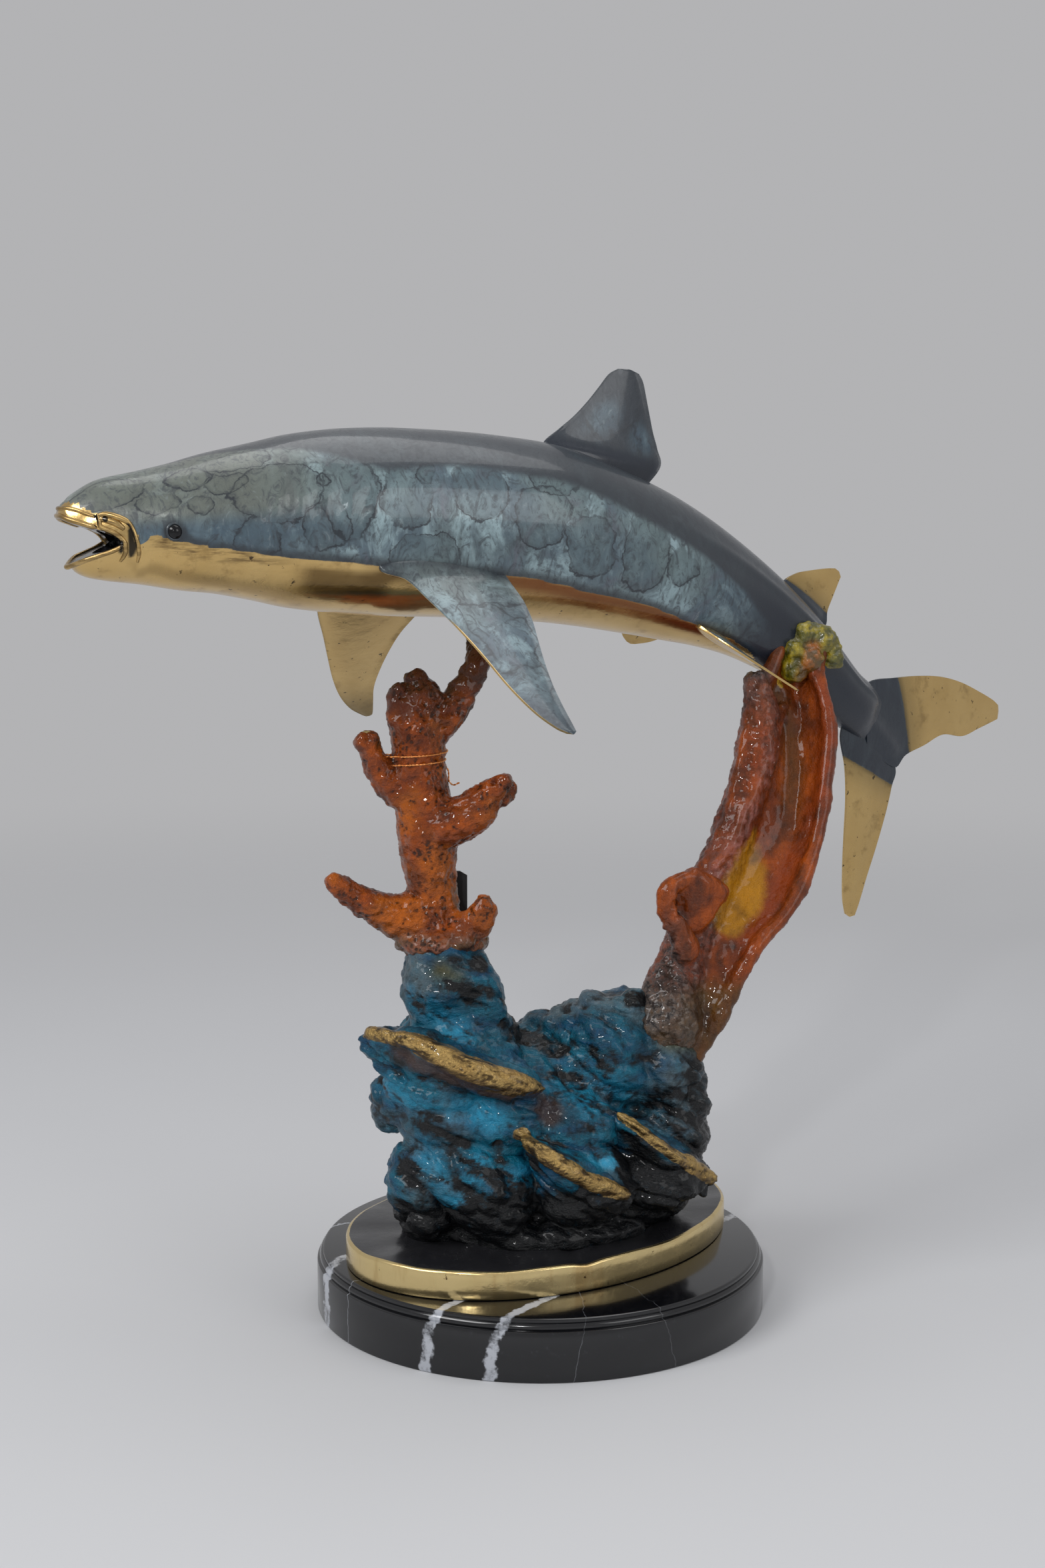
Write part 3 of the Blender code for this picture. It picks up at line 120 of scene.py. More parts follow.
# Fins, root first: leading and trailing edge as (out, aft)
FINS = {
    "dorsal_fin": (
        [(-0.012, 0.000), (0.000, 0.000), (0.010, 0.0085), (0.0195, 0.017), (0.030, 0.0245), (0.040, 0.0305),
         (0.0495, 0.036), (0.054, 0.0415)],
        [(-0.018, 0.0715), (0.001, 0.083), (0.0115, 0.079), (0.0205, 0.074), (0.029, 0.070), (0.040, 0.065),
         (0.0495, 0.0605), (0.054, 0.0565)]),
    "second_dorsal_fin": (
        [(-0.014, 0.006), (0.000, 0.000), (0.011, 0.006), (0.0195, 0.016), (0.028, 0.0275), (0.032, 0.034)],
        [(-0.016, 0.0445), (-0.004, 0.0475), (0.005, 0.044), (0.0145, 0.043), (0.0245, 0.042), (0.030, 0.0415)]),
    "tail_fin_upper": (
        [(0.005, -0.007), (0.022, 0.002), (0.036, 0.0185), (0.0515, 0.038), (0.065, 0.058), (0.0745, 0.078),
         (0.081, 0.099), (0.085, 0.115), (0.0855, 0.122)],
        [(-0.017, 0.0295), (-0.010, 0.060), (0.002, 0.063), (0.0185, 0.075), (0.0355, 0.0865), (0.0465, 0.1045),
         (0.060, 0.115), (0.072, 0.124), (0.0775, 0.128)]),
    "tail_fin_lower": (
        [(0.0135, -0.0035), (0.025, 0.002), (0.037, 0.018), (0.0525, 0.0325), (0.072, 0.047), (0.090, 0.0605),
         (0.106, 0.074), (0.1135, 0.0835)],
        [(0.000, 0.0295), (0.009, 0.060), (0.0215, 0.066), (0.038, 0.0725), (0.061, 0.0795), (0.0825, 0.085),
         (0.100, 0.090), (0.1095, 0.092)]),
    "pectoral_fin_left": (
        [(-0.027, 0.0115), (0.000, 0.000), (0.008, 0.0145), (0.024, 0.024), (0.045, 0.035), (0.068, 0.045),
         (0.092, 0.054), (0.1115, 0.064), (0.123, 0.0735), (0.127, 0.0795)],
        [(-0.020, 0.073), (0.003, 0.0805), (0.022, 0.0855), (0.038, 0.086), (0.0545, 0.0845), (0.0725, 0.083),
         (0.0905, 0.0825), (0.107, 0.0835), (0.1205, 0.085), (0.126, 0.0855)]),
    "pectoral_fin_right": (
        [(-0.032, 0.000), (0.000, 0.000), (0.021, 0.006), (0.045, 0.0175), (0.0655, 0.027), (0.0885, 0.038),
         (0.106, 0.0485), (0.1185, 0.0595), (0.125, 0.0695), (0.127, 0.074)],
        [(-0.031, 0.074), (-0.003, 0.0765), (0.020, 0.071), (0.0385, 0.067), (0.061, 0.066), (0.082, 0.067),
         (0.096, 0.069), (0.109, 0.073), (0.120, 0.0765), (0.1245, 0.0775)]),
    "pelvic_fin_left": (
        [(-0.012, -0.002), (0.000, 0.000), (0.010, 0.013), (0.0165, 0.028), (0.0205, 0.046), (0.0215, 0.064),
         (0.020, 0.070)],
        [(-0.012, 0.034), (-0.002, 0.042), (0.003, 0.052), (0.008, 0.060), (0.013, 0.067), (0.0165, 0.072),
         (0.0175, 0.0735)]),
    "pelvic_fin_right": (
        [(-0.012, 0.002), (0.000, 0.000), (0.007, 0.002), (0.013, 0.006), (0.017, 0.012)],
        [(-0.012, 0.034), (-0.002, 0.036), (0.005, 0.033), (0.012, 0.027), (0.017, 0.019)]),
}

# Reef, heights from the plinth's top: rows of x, y, z, radius
TRUNK = [(-0.058, -0.021, 0.152, 0.027), (-0.0595, -0.020, 0.168, 0.0225), (-0.0615, -0.018, 0.176, 0.024),
         (-0.0635, -0.016, 0.186, 0.018), (-0.065, -0.015, 0.198, 0.016), (-0.0665, -0.015, 0.2155, 0.0153),
         (-0.069, -0.015, 0.237, 0.0173), (-0.0715, -0.015, 0.2645, 0.0176), (-0.0745, -0.015, 0.289, 0.0164),
         (-0.0735, -0.014, 0.3085, 0.0172), (-0.073, -0.012, 0.3245, 0.0145), (-0.0755, -0.010, 0.3365, 0.008)]
BRANCH = [(-0.065, -0.013, 0.308, 0.012), (-0.053, -0.011, 0.3195, 0.0108), (-0.044, -0.008, 0.335, 0.0082),
          (-0.037, -0.005, 0.3485, 0.0078)]
STUBS = [
    [(-0.080, -0.018, 0.266, 0.0088), (-0.090, -0.020, 0.272, 0.0075), (-0.0985, -0.022, 0.286, 0.0068),
     (-0.1043, -0.024, 0.301, 0.0048)],
    [(-0.085, -0.016, 0.3137, 0.008), (-0.0865, -0.017, 0.325, 0.0056), (-0.085, -0.017, 0.3316, 0.004)],
    [(-0.061, -0.020, 0.248, 0.0136), (-0.0447, -0.024, 0.2555, 0.0124), (-0.032, -0.027, 0.2674, 0.008),
     (-0.022, -0.029, 0.2774, 0.004)],
    [(-0.035, -0.022, 0.2666, 0.0072), (-0.024, -0.018, 0.2685, 0.0064), (-0.0183, -0.016, 0.2715, 0.0036)],
    [(-0.0695, -0.018, 0.1924, 0.016), (-0.0895, -0.024, 0.1948, 0.0125), (-0.1045, -0.029, 0.2024, 0.010),
     (-0.117, -0.033, 0.2113, 0.0072), (-0.1255, -0.036, 0.2175, 0.004)],
    [(-0.053, -0.020, 0.1833, 0.012), (-0.0417, -0.026, 0.1887, 0.0096), (-0.035, -0.029, 0.1984, 0.0068),
     (-0.034, -0.030, 0.2051, 0.0044)],
]
CROWN = (-0.0615, -0.018, 0.176, 0.0275, 0.024, 0.009)
# Kelp: share of the way up, x of the left edge, the fold and the right edge, y of the same
KELP = [
    (0.00, 0.072, 0.086, 0.0985, -0.012, -0.012, -0.012), (0.08, 0.078, 0.0985, 0.1105, -0.010, -0.008, -0.010),
    (0.18, 0.083, 0.113, 0.123, -0.006, -0.002, -0.006), (0.27, 0.086, 0.125, 0.1365, -0.002, 0.008, 0.000),
    (0.35, 0.0905, 0.138, 0.1555, 0.008, 0.022, 0.012), (0.42, 0.096, 0.148, 0.1665, 0.018, 0.036, 0.022),
    (0.51, 0.108, 0.1565, 0.176, 0.026, 0.050, 0.034), (0.605, 0.118, 0.160, 0.182, 0.034, 0.062, 0.044),
    (0.70, 0.1235, 0.1615, 0.1855, 0.042, 0.072, 0.054), (0.79, 0.128, 0.1625, 0.1875, 0.050, 0.080, 0.062),
    (0.87, 0.134, 0.164, 0.185, 0.058, 0.086, 0.070), (0.94, 0.1435, 0.1665, 0.180, 0.066, 0.088, 0.078),
    (1.00, 0.1495, 0.1665, 0.183, 0.072, 0.084, 0.080),
]
KELP_BACK = [(0.1373, 0.066, 0.92, 0.0093), (0.1394, 0.062, 0.82, 0.0125), (0.136, 0.056, 0.725, 0.0135),
             (0.1295, 0.048, 0.63, 0.0134), (0.121, 0.040, 0.535, 0.0134), (0.111, 0.032, 0.44, 0.0142),
             (0.101, 0.022, 0.35, 0.015), (0.091, 0.012, 0.26, 0.0149), (0.0825, 0.002, 0.17, 0.018),
             (0.078, -0.006, 0.08, 0.022)]
KELP_LIP = [(0.109, 0.006, 0.41, 0.0082), (0.0936, -0.006, 0.455, 0.0062), (0.080, -0.012, 0.44, 0.0061),
            (0.077, -0.014, 0.40, 0.0055), (0.082, -0.012, 0.345, 0.0068), (0.090, -0.008, 0.275, 0.009)]
KELP_BOWL = (0.0925, 0.001, 0.385, 0.0175, 0.0075, 0.0185)
WELD = [(-0.010, 0.002, 0.0085), (-0.004, 0.011, 0.0080), (0.009, 0.008, 0.0090), (0.016, -0.004, 0.0072),
        (0.000, -0.004, 0.0105), (-0.009, -0.012, 0.0085)]
WELD_BEAD = [(-0.012, -0.006, -0.012, 0.0045), (-0.016, -0.004, -0.004, 0.0042), (-0.012, -0.005, 0.008, 0.0042),
             (-0.003, -0.005, 0.015, 0.0042), (0.009, -0.002, 0.013, 0.0042), (0.018, 0.0, 0.001, 0.0042),
             (0.019, 0.0, -0.008, 0.0035)]
# Boulders: centre and radii
ROCK = [
    (-0.058, -0.022, 0.141, 0.0254, 0.0246, 0.0287), (-0.0495, -0.020, 0.1075, 0.041, 0.037, 0.037),
    (-0.0045, 0.000, 0.0765, 0.050, 0.046, 0.044), (0.039, 0.000, 0.102, 0.0376, 0.0397, 0.0376),
    (0.0726, 0.004, 0.097, 0.0294, 0.0336, 0.0378), (-0.021, -0.012, 0.035, 0.065, 0.0546, 0.044),
    (0.050, 0.000, 0.0315, 0.051, 0.053, 0.0424), (-0.0617, -0.030, 0.0215, 0.0283, 0.0333, 0.040),
    (0.079, 0.004, 0.054, 0.0263, 0.034, 0.0296), (-0.0045, -0.005, 0.002, 0.0787, 0.068, 0.0215),
    (0.0516, 0.004, 0.1226, 0.026, 0.0293, 0.020), (0.008, 0.012, 0.1034, 0.0337, 0.0295, 0.021),
    (-0.0045, 0.040, 0.033, 0.0653, 0.039, 0.052), (0.038, 0.036, 0.0655, 0.0475, 0.0346, 0.048),
    (-0.047, 0.020, 0.0623, 0.0388, 0.0345, 0.050), (-0.083, -0.034, 0.082, 0.020, 0.026, 0.018),
    (-0.052, -0.052, 0.078, 0.034, 0.026, 0.028), (0.012, -0.040, 0.068, 0.036, 0.030, 0.026),
    (-0.070, -0.050, 0.040, 0.022, 0.024, 0.026), (-0.028, -0.060, 0.030, 0.026, 0.022, 0.030),
    (0.092, 0.004, 0.082, 0.013, 0.020, 0.016), (-0.056, -0.052, 0.098, 0.040, 0.027, 0.024),
    (-0.022, -0.054, 0.078, 0.030, 0.026, 0.022), (0.024, -0.056, 0.036, 0.030, 0.026, 0.026),
    (0.070, -0.036, 0.034, 0.028, 0.022, 0.022), (-0.044, -0.058, 0.046, 0.030, 0.022, 0.026),
    (-0.071, -0.064, 0.040, 0.013, 0.011, 0.021), (-0.066, -0.060, 0.018, 0.013, 0.011, 0.014),
    (-0.092, -0.038, 0.074, 0.009, 0.012, 0.011), (0.012, 0.000, 0.121, 0.014, 0.013, 0.008),
    (0.036, -0.004, 0.134, 0.012, 0.013, 0.010), (0.056, -0.010, 0.137, 0.012, 0.013, 0.009),
    (0.093, -0.010, 0.094, 0.010, 0.012, 0.009), (0.097, -0.006, 0.073, 0.010, 0.012, 0.009),
    (0.093, -0.014, 0.055, 0.010, 0.011, 0.008), (-0.002, -0.050, 0.086, 0.015, 0.012, 0.012),
    (-0.012, 0.030, 0.086, 0.020, 0.016, 0.014), (0.030, 0.040, 0.100, 0.018, 0.015, 0.014),
    (-0.050, 0.040, 0.060, 0.017, 0.014, 0.018), (0.062, 0.044, 0.070, 0.017, 0.014, 0.018),
]
LEDGE_EDGES = [
    [(-0.102, -0.062, 0.131, 0.0040), (-0.075, -0.081, 0.130, 0.0050), (-0.043, -0.083, 0.114, 0.0084),
     (-0.012, -0.078, 0.104, 0.0068), (-0.001, -0.070, 0.099, 0.0040)],
    [(-0.010, -0.072, 0.071, 0.0034), (0.005, -0.093, 0.063, 0.0050), (0.028, -0.090, 0.049, 0.0050),
     (0.051, -0.079, 0.037, 0.0038)],
    [(0.049, -0.052, 0.077, 0.0030), (0.072, -0.056, 0.061, 0.0038), (0.098, -0.039, 0.039, 0.0044),
     (0.106, -0.032, 0.032, 0.0038)],
]
KNOBS = [
    (-0.077, -0.026, 0.180, 0.0100), (-0.062, -0.036, 0.178, 0.0090), (-0.046, -0.032, 0.180, 0.0085),
    (-0.083, -0.018, 0.183, 0.0090), (-0.041, -0.012, 0.177, 0.0090),
]
KELP_RIDGE = [(0.156, 0.076, 0.86, 0.0032), (0.147, 0.054, 0.78, 0.0036), (0.138, 0.042, 0.69, 0.0036),
              (0.128, 0.033, 0.61, 0.0036), (0.120, 0.026, 0.53, 0.0036), (0.108, 0.019, 0.47, 0.0032)]
# The skin's relief: broad swells, blocks in layers that dip to the right, small lumps on the limbs
SWELL_SIZE = 0.040
SWELL_HEIGHT = 0.0040
LAYER_DIP = 26.0
BLOCK_LENGTH = 0.046
BLOCK_DEPTH = 0.026
BLOCK_THICKNESS = 0.017
BLOCK_HEIGHT = 0.0030
BLOCK_STEP = 0.0016
LUMP_SIZE = 0.016
LUMP_HEIGHT = 0.0018
SLABS = [
    [(-0.110, -0.058, 0.125), (-0.099, -0.066, 0.1335), (-0.074, -0.086, 0.1347), (-0.043, -0.090, 0.122),
     (-0.012, -0.086, 0.108), (0.0045, -0.070, 0.100), (-0.004, -0.045, 0.1057), (-0.045, -0.030, 0.1217),
     (-0.0856, -0.030, 0.128)],
    [(-0.014, -0.086, 0.0745), (0.002, -0.098, 0.073), (0.027, -0.096, 0.0546), (0.055, -0.080, 0.0374),
     (0.060, -0.058, 0.0357), (0.028, -0.045, 0.0512), (-0.004, -0.052, 0.0687)],
    [(0.036, -0.048, 0.0844), (0.059, -0.064, 0.0753), (0.0835, -0.060, 0.0544), (0.109, -0.034, 0.0332),
     (0.1077, -0.008, 0.0326), (0.0785, -0.005, 0.0488), (0.049, -0.015, 0.0704)],
]


# Making and joining
def keep(name, bm):
    """Turn a bmesh into a smooth shaded object at the origin."""
    mesh = bpy.data.meshes.new(name)
    bm.to_mesh(mesh)
    bm.free()
    mesh.shade_smooth()
    obj = bpy.data.objects.new(name, mesh)
    bpy.context.scene.collection.objects.link(obj)
    return obj


def settle(obj):
    """Make the modifiers' result the object's own mesh."""
    bpy.context.view_layer.update()
    graph = bpy.context.evaluated_depsgraph_get()
    mesh = bpy.data.meshes.new_from_object(obj.evaluated_get(graph))
    obj.modifiers.clear()
    obj.data = mesh
    obj.data.shade_smooth()
    return obj


def carve(target, tool, operation="DIFFERENCE"):
    mod = target.modifiers.new("carve", "BOOLEAN")
    mod.operation = operation
    mod.solver = "EXACT"
    mod.material_mode = "TRANSFER"
    mod.object = tool
    settle(target)
    bpy.data.objects.remove(tool, do_unlink=True)
    return target


def merge(bm, other):
    """Add another bmesh to bm."""
    mesh = bpy.data.meshes.new("part")
    other.to_mesh(mesh)
    other.free()
    bm.from_mesh(mesh)
    bpy.data.meshes.remove(mesh)


def spread(bm, rings, pole=True):
    """Extrude a closed loop from ring to ring and close both ends."""
    count = len(rings[0])
    place = bm.verts.layers.int.get("place") or bm.verts.layers.int.new("place")
    loop = bmesh.ops.create_circle(bm, segments=count, radius=1.0)["verts"]
    loop = sorted(loop, key=lambda v: atan2(v.co.y, v.co.x))
    for k, v in enumerate(loop):
        v[place] = k
        v.co = rings[0][k]
    first = list({e for v in loop for e in v.link_edges})
    edges = first
    for i in range(1, len(rings)):
        geom = bmesh.ops.extrude_edge_only(bm, edges=edges)["geom"]
        edges = [g for g in geom if isinstance(g, bmesh.types.BMEdge)]
        for g in geom:
            if isinstance(g, bmesh.types.BMVert):
                k = g[place] % count
                g[place] = i * count + k
                g.co = rings[i][k]
    ends = []
    for side in (first, edges):
        ends += bmesh.ops.edgeloop_fill(bm, edges=side)["faces"]
    if pole:
        bmesh.ops.poke(bm, faces=ends)


def cubic(rows, t):
    """Smooth curve through rows whose first item is the parameter."""
    last = len(rows) - 1
    t = min(max(t, rows[0][0]), rows[last][0])
    k = 0
    while k < last - 1 and rows[k + 1][0] < t:
        k += 1
    p0 = rows[max(k - 1, 0)]
    p1 = rows[k]
    p2 = rows[k + 1]
    p3 = rows[min(k + 2, last)]
    span = p2[0] - p1[0]
    u = (t - p1[0]) / span
    out = []
    for c in range(1, len(p1)):
        m1 = (p2[c] - p0[c]) / (p2[0] - p0[0]) * span
        m2 = (p3[c] - p1[c]) / (p3[0] - p1[0]) * span
        limit = 3.0 * abs(p2[c] - p1[c])
        m1 = max(-limit, min(limit, m1))
        m2 = max(-limit, min(limit, m2))
        out.append((2 * u**3 - 3 * u**2 + 1) * p1[c] + (u**3 - 2 * u**2 + u) * m1
                   + (3 * u**2 - 2 * u**3) * p2[c] + (u**3 - u**2) * m2)
    return out


def along(points, steps):
    """Evenly spaced smooth path through points."""
    rows = []
    dist = 0.0
    for i, p in enumerate(points):
        if i:
            dist += (Vector(p[:3]) - Vector(points[i - 1][:3])).length
        rows.append((dist, *p))
    return [cubic(rows, dist * k / steps) for k in range(steps + 1)]


def round_limb(bm, rows, sides=24, steps=None, tip=0.8):
    """Tapered round limb with domed ends through rows of x, y, z, radius."""
    steps = steps or 7 * (len(rows) - 1)
    path = along(rows, steps)
    rings = []
    normal = None
    count = len(path)
    for i, (x, y, z, r) in enumerate(path):
        a = Vector(path[max(i - 1, 0)][:3])
        b = Vector(path[min(i + 1, count - 1)][:3])
        ahead = (b - a).normalized()
        if normal is None:
            normal = ahead.orthogonal().normalized()
        normal = (normal - ahead * normal.dot(ahead)).normalized()
        other = ahead.cross(normal)
        domes = [(0.0, 1.0)]
        if i == 0:
            domes = [(-tip * sin(radians(d)), cos(radians(d))) for d in (80, 60, 40, 20)] + domes
        if i == count - 1:
            domes = domes + [(tip * sin(radians(d)), cos(radians(d))) for d in (20, 40, 60, 80)]
        for shift, size in domes:
            centre = Vector((x, y, z)) + ahead * shift * r
            rings.append([centre + (normal * cos(2 * pi * k / sides) + other * sin(2 * pi * k / sides)) * r * size
                          for k in range(sides)])
    spread(bm, rings)


def boulder(bm, x, y, z, rx, ry, rz, level=4):
    made = bmesh.ops.create_icosphere(bm, subdivisions=level, radius=1.0)["verts"]
    bmesh.ops.scale(bm, vec=(rx, ry, rz), verts=made)
    bmesh.ops.translate(bm, vec=(x, y, z), verts=made)


def one_skin(name, bm, voxel, smoothing=4):
    """Fuse overlapping forms into one smooth skin."""
    obj = keep(name, bm)
    mod = obj.modifiers.new("skin", "REMESH")
    mod.mode = "VOXEL"
    mod.voxel_size = voxel
    mod.use_smooth_shade = True
    ease = obj.modifiers.new("ease", "SMOOTH")
    ease.iterations = smoothing
    ease.factor = 0.5
    return settle(obj)


def dress(obj, mat):
    """Give a piece its one finish."""
    obj.data.materials.clear()
    obj.data.materials.append(mat)
    obj.data.polygons.foreach_set("material_index", [0] * len(obj.data.polygons))


# Sculpting and painting by place
def places(obj):
    co = np.zeros(len(obj.data.vertices) * 3)
    obj.data.vertices.foreach_get("co", co)
    return co.reshape(-1, 3)


def normals(obj):
    out = np.zeros(len(obj.data.vertices) * 3)
    obj.data.vertices.foreach_get("normal", out)
    return out.reshape(-1, 3)


def reshape(obj, co):
    obj.data.vertices.foreach_set("co", np.asarray(co).ravel())
    obj.data.update()


def paint(obj, name, values):
    layer = obj.data.attributes.get(name) or obj.data.attributes.new(name, "FLOAT", "POINT")
    layer.data.foreach_set("value", np.clip(np.asarray(values, float), 0.0, 1.0))


def ease(low, high, x):
    t = np.clip((np.asarray(x, float) - low) / (high - low), 0.0, 1.0)
    return t * t * (3 - 2 * t)


def stroke(co, rows, grow=1.0, soft=0.6):
    """Share of 0 to 1 near a path of x, y, z, radius."""
    best = np.zeros(len(co))
    rows = np.array(rows, float)
    if len(rows) == 1:
        rows = np.vstack([rows, rows])
    for a, b in zip(rows, rows[1:]):
        ab = b[:3] - a[:3]
        t = np.clip(((co - a[:3]) @ ab) / max(ab @ ab, 1e-12), 0, 1)
        dist = np.linalg.norm(co - a[:3] - t[:, None] * ab, axis=1)
        r = (a[3] + (b[3] - a[3]) * t) * grow
        best = np.maximum(best, 1 - ease(1 - soft, 1.0, dist / r))
    return best


def strokes(co, table):
    """Sum of strokes, each with its weight, softness and path."""
    return sum(weight * stroke(co, path, 1, soft) for weight, soft, path in table)


def cloud(co, scale, octaves=4, seed=0.0, kind="fractal"):
    """Noise about -1 to 1 at each point."""
    q = co * scale + seed
    if kind == "ridge":
        return np.array([noise.ridged_multi_fractal(p, 0.9, 2.1, octaves, 1.0, 2.0) for p in q]) - 1.2
    return np.array([noise.fractal(p, 0.8, 2.1, octaves) for p in q])


def cells(co):
    """Distances to the nearest and second nearest cell points."""
    near = np.empty((len(co), 2))
    for i, p in enumerate(co):
        d = noise.voronoi(p)[0]
        near[i] = d[0], d[1]
    return near


def relief(co):
    """How far the reef's skin stands out, and how near each point is to a crease between blocks."""
    out = np.empty(len(co))
    crease = np.empty(len(co))
    a = radians(LAYER_DIP)
    for i, p in enumerate(co):
        p = Vector(p)
        bend = noise.noise_vector(p / 0.050) * 0.6
        place = Vector(((p.x * cos(a) - p.z * sin(a)) / BLOCK_LENGTH, p.y / BLOCK_DEPTH,
                        (p.x * sin(a) + p.z * cos(a)) / BLOCK_THICKNESS)) + bend
        near, points = noise.voronoi(place)
        gap = near[1] - near[0]
        rim = min(gap / 0.30, 1.0)
        limb = min(max((p.z - KELP_FOOT - 0.030) / 0.030, 0.0), 1.0)
        blocks = 0.65 * BLOCK_HEIGHT * (rim * rim * (3 - 2 * rim) - 0.65)
        blocks += BLOCK_STEP * rim * noise.noise(points[0] * 3.7)
        lumps = LUMP_HEIGHT * noise.noise(p / LUMP_SIZE)
        out[i] = SWELL_HEIGHT * (1 - 0.7 * limb) * noise.noise(p / SWELL_SIZE) + blocks * (1 - limb) + lumps * limb
        crease[i] = exp(-(gap / 0.10) ** 2) * (1 - limb)
    return out * np.clip((Z_AXIS - 0.075 - co[:, 2]) / 0.030, 0.0, 1.0), crease


# Node shorthand
def fill(tree, socket, value):
    if isinstance(value, bpy.types.NodeSocket):
        tree.links.new(value, socket)
    elif isinstance(value, tuple) and len(value) == 3 and socket.type == "RGBA":
        socket.default_value = (*value, 1.0)
    else:
        socket.default_value = value


def calc(tree, op, a, b=0.0, c=None):
    node = tree.nodes.new("ShaderNodeMath")
    node.operation = op
    fill(tree, node.inputs[0], a)
    fill(tree, node.inputs[1], b)
    if c is not None:
        fill(tree, node.inputs[2], c)
    return node.outputs[0]


def times(tree, a, b):
    return calc(tree, "MULTIPLY", a, b)


def plus(tree, a, b):
    return calc(tree, "ADD", a, b)


def minus(tree, a, b):
    return calc(tree, "SUBTRACT", a, b)


def uneven(tree, value, amount):
    """A noise's 0 to 1 as a shift to both sides of 0."""
    return times(tree, minus(tree, value, 0.5), amount)


def vector(tree, op, a, b=None, c=None):
    node = tree.nodes.new("ShaderNodeVectorMath")
    node.operation = op
    for socket, value in zip(node.inputs, (a, b, c)):
        if value is not None:
            fill(tree, socket, value)
    return node


def step(tree, value, low, high, to_low=0.0, to_high=1.0):
    node = tree.nodes.new("ShaderNodeMapRange")
    node.interpolation_type = "SMOOTHSTEP"
    fill(tree, node.inputs["Value"], value)
    fill(tree, node.inputs["From Min"], low)
    fill(tree, node.inputs["From Max"], high)
    fill(tree, node.inputs["To Min"], to_low)
    fill(tree, node.inputs["To Max"], to_high)
    return node.outputs["Result"]


def blend(tree, share, a, b, mode="MIX"):
    node = tree.nodes.new("ShaderNodeMix")
    node.data_type = "RGBA"
    node.blend_type = mode
    fill(tree, node.inputs[0], share)
    fill(tree, node.inputs[6], a)
    fill(tree, node.inputs[7], b)
    return node.outputs[2]


def painted(tree, name):
    node = tree.nodes.new("ShaderNodeAttribute")
    node.attribute_name = name
    return node.outputs["Fac"]


def over(tree, colour, name, share, top):
    """A colour laid over another where an attribute is painted."""
    return blend(tree, times(tree, painted(tree, name), share), colour, top)


def spot(tree, stretch=(1, 1, 1), turn=(0, 0, 0)):
    """Object coordinates, turned and stretched."""
    tex = tree.nodes.new("ShaderNodeTexCoord")
    node = tree.nodes.new("ShaderNodeMapping")
    node.inputs["Rotation"].default_value = turn
    node.inputs["Scale"].default_value = stretch
    tree.links.new(tex.outputs["Object"], node.inputs["Vector"])
    return node.outputs["Vector"]


def grain(tree, here, scale, detail=4.0, rough=0.55, warp=0.0):
    node = tree.nodes.new("ShaderNodeTexNoise")
    tree.links.new(here, node.inputs["Vector"])
    node.inputs["Scale"].default_value = scale
    node.inputs["Detail"].default_value = detail
    node.inputs["Roughness"].default_value = rough
    node.inputs["Distortion"].default_value = warp
    return node.outputs["Fac"]


def pebbles(tree, here, scale, feature="F1", random=1.0):
    node = tree.nodes.new("ShaderNodeTexVoronoi")
    node.feature = feature
    tree.links.new(here, node.inputs["Vector"])
    node.inputs["Scale"].default_value = scale
    node.inputs["Randomness"].default_value = random
    return node


def wander(tree, here, scale, amount):
    """Shift a vector by noise."""
    node = tree.nodes.new("ShaderNodeTexNoise")
    tree.links.new(here, node.inputs["Vector"])
    node.inputs["Scale"].default_value = scale
    node.inputs["Detail"].default_value = 3.0
    less = vector(tree, "SUBTRACT", node.outputs["Color"], (0.5, 0.5, 0.5))
    by = vector(tree, "SCALE", less.outputs[0])
    by.inputs["Scale"].default_value = amount
    return vector(tree, "ADD", here, by.outputs[0]).outputs[0]


def bumps(tree, height, distance, strength=1.0):
    node = tree.nodes.new("ShaderNodeBump")
    node.inputs["Strength"].default_value = strength
    node.inputs["Distance"].default_value = distance
    tree.links.new(height, node.inputs["Height"])
    return node.outputs["Normal"]


def finish_of(name, coat=0.0, coat_rough=0.05):
    """New material and its tree and shader."""
    mat = bpy.data.materials.new(name)
    mat.use_nodes = True
    tree = mat.node_tree
    shader = tree.nodes["Principled BSDF"]
    shader.inputs["Coat Weight"].default_value = coat
    shader.inputs["Coat Roughness"].default_value = coat_rough
    return mat, tree, shader


def srgb(r, g, b):
    """Colour as seen, 0 to 255, to linear."""
    out = []
    for c in (r, g, b):
        c = c / 255
        out.append(c / 12.92 if c <= 0.04045 else ((c + 0.055) / 1.055) ** 2.4)
    return tuple(out)


# Swim curve
def heading(s):
    t = max(0.0, (s - 0.250) / (BODY_LENGTH - 0.250))
    return radians(25.0 + 15.0 * min(t, 1.1) ** 2)


def plan_point(s):
    start, x, y = PLAN_MIDDLE
    stride = (s - start) / 48
    for i in range(48):
        a = heading(start + (i + 0.5) * stride)
        x += cos(a) * stride
        y += sin(a) * stride
    return x, y


def body_frame(s):
    """Centre, left, up and tailward directions, half height and half width."""
    drop, half_height, half_width = cubic(STATIONS, s)
    low = max(s - 0.012, 0.04)
    high = min(max(s + 0.012, 0.05), BODY_END)
    rise = (cubic(STATIONS, high)[0] - cubic(STATIONS, low)[0]) / (high - low)
    a = heading(s)
    aft = Vector((cos(a), sin(a), rise)).normalized()
    left = Vector((sin(a), -cos(a), 0.0))
    x, y = plan_point(s)
    return Vector((x, y, Z_AXIS + drop)), left, left.cross(aft), aft, half_height, half_width


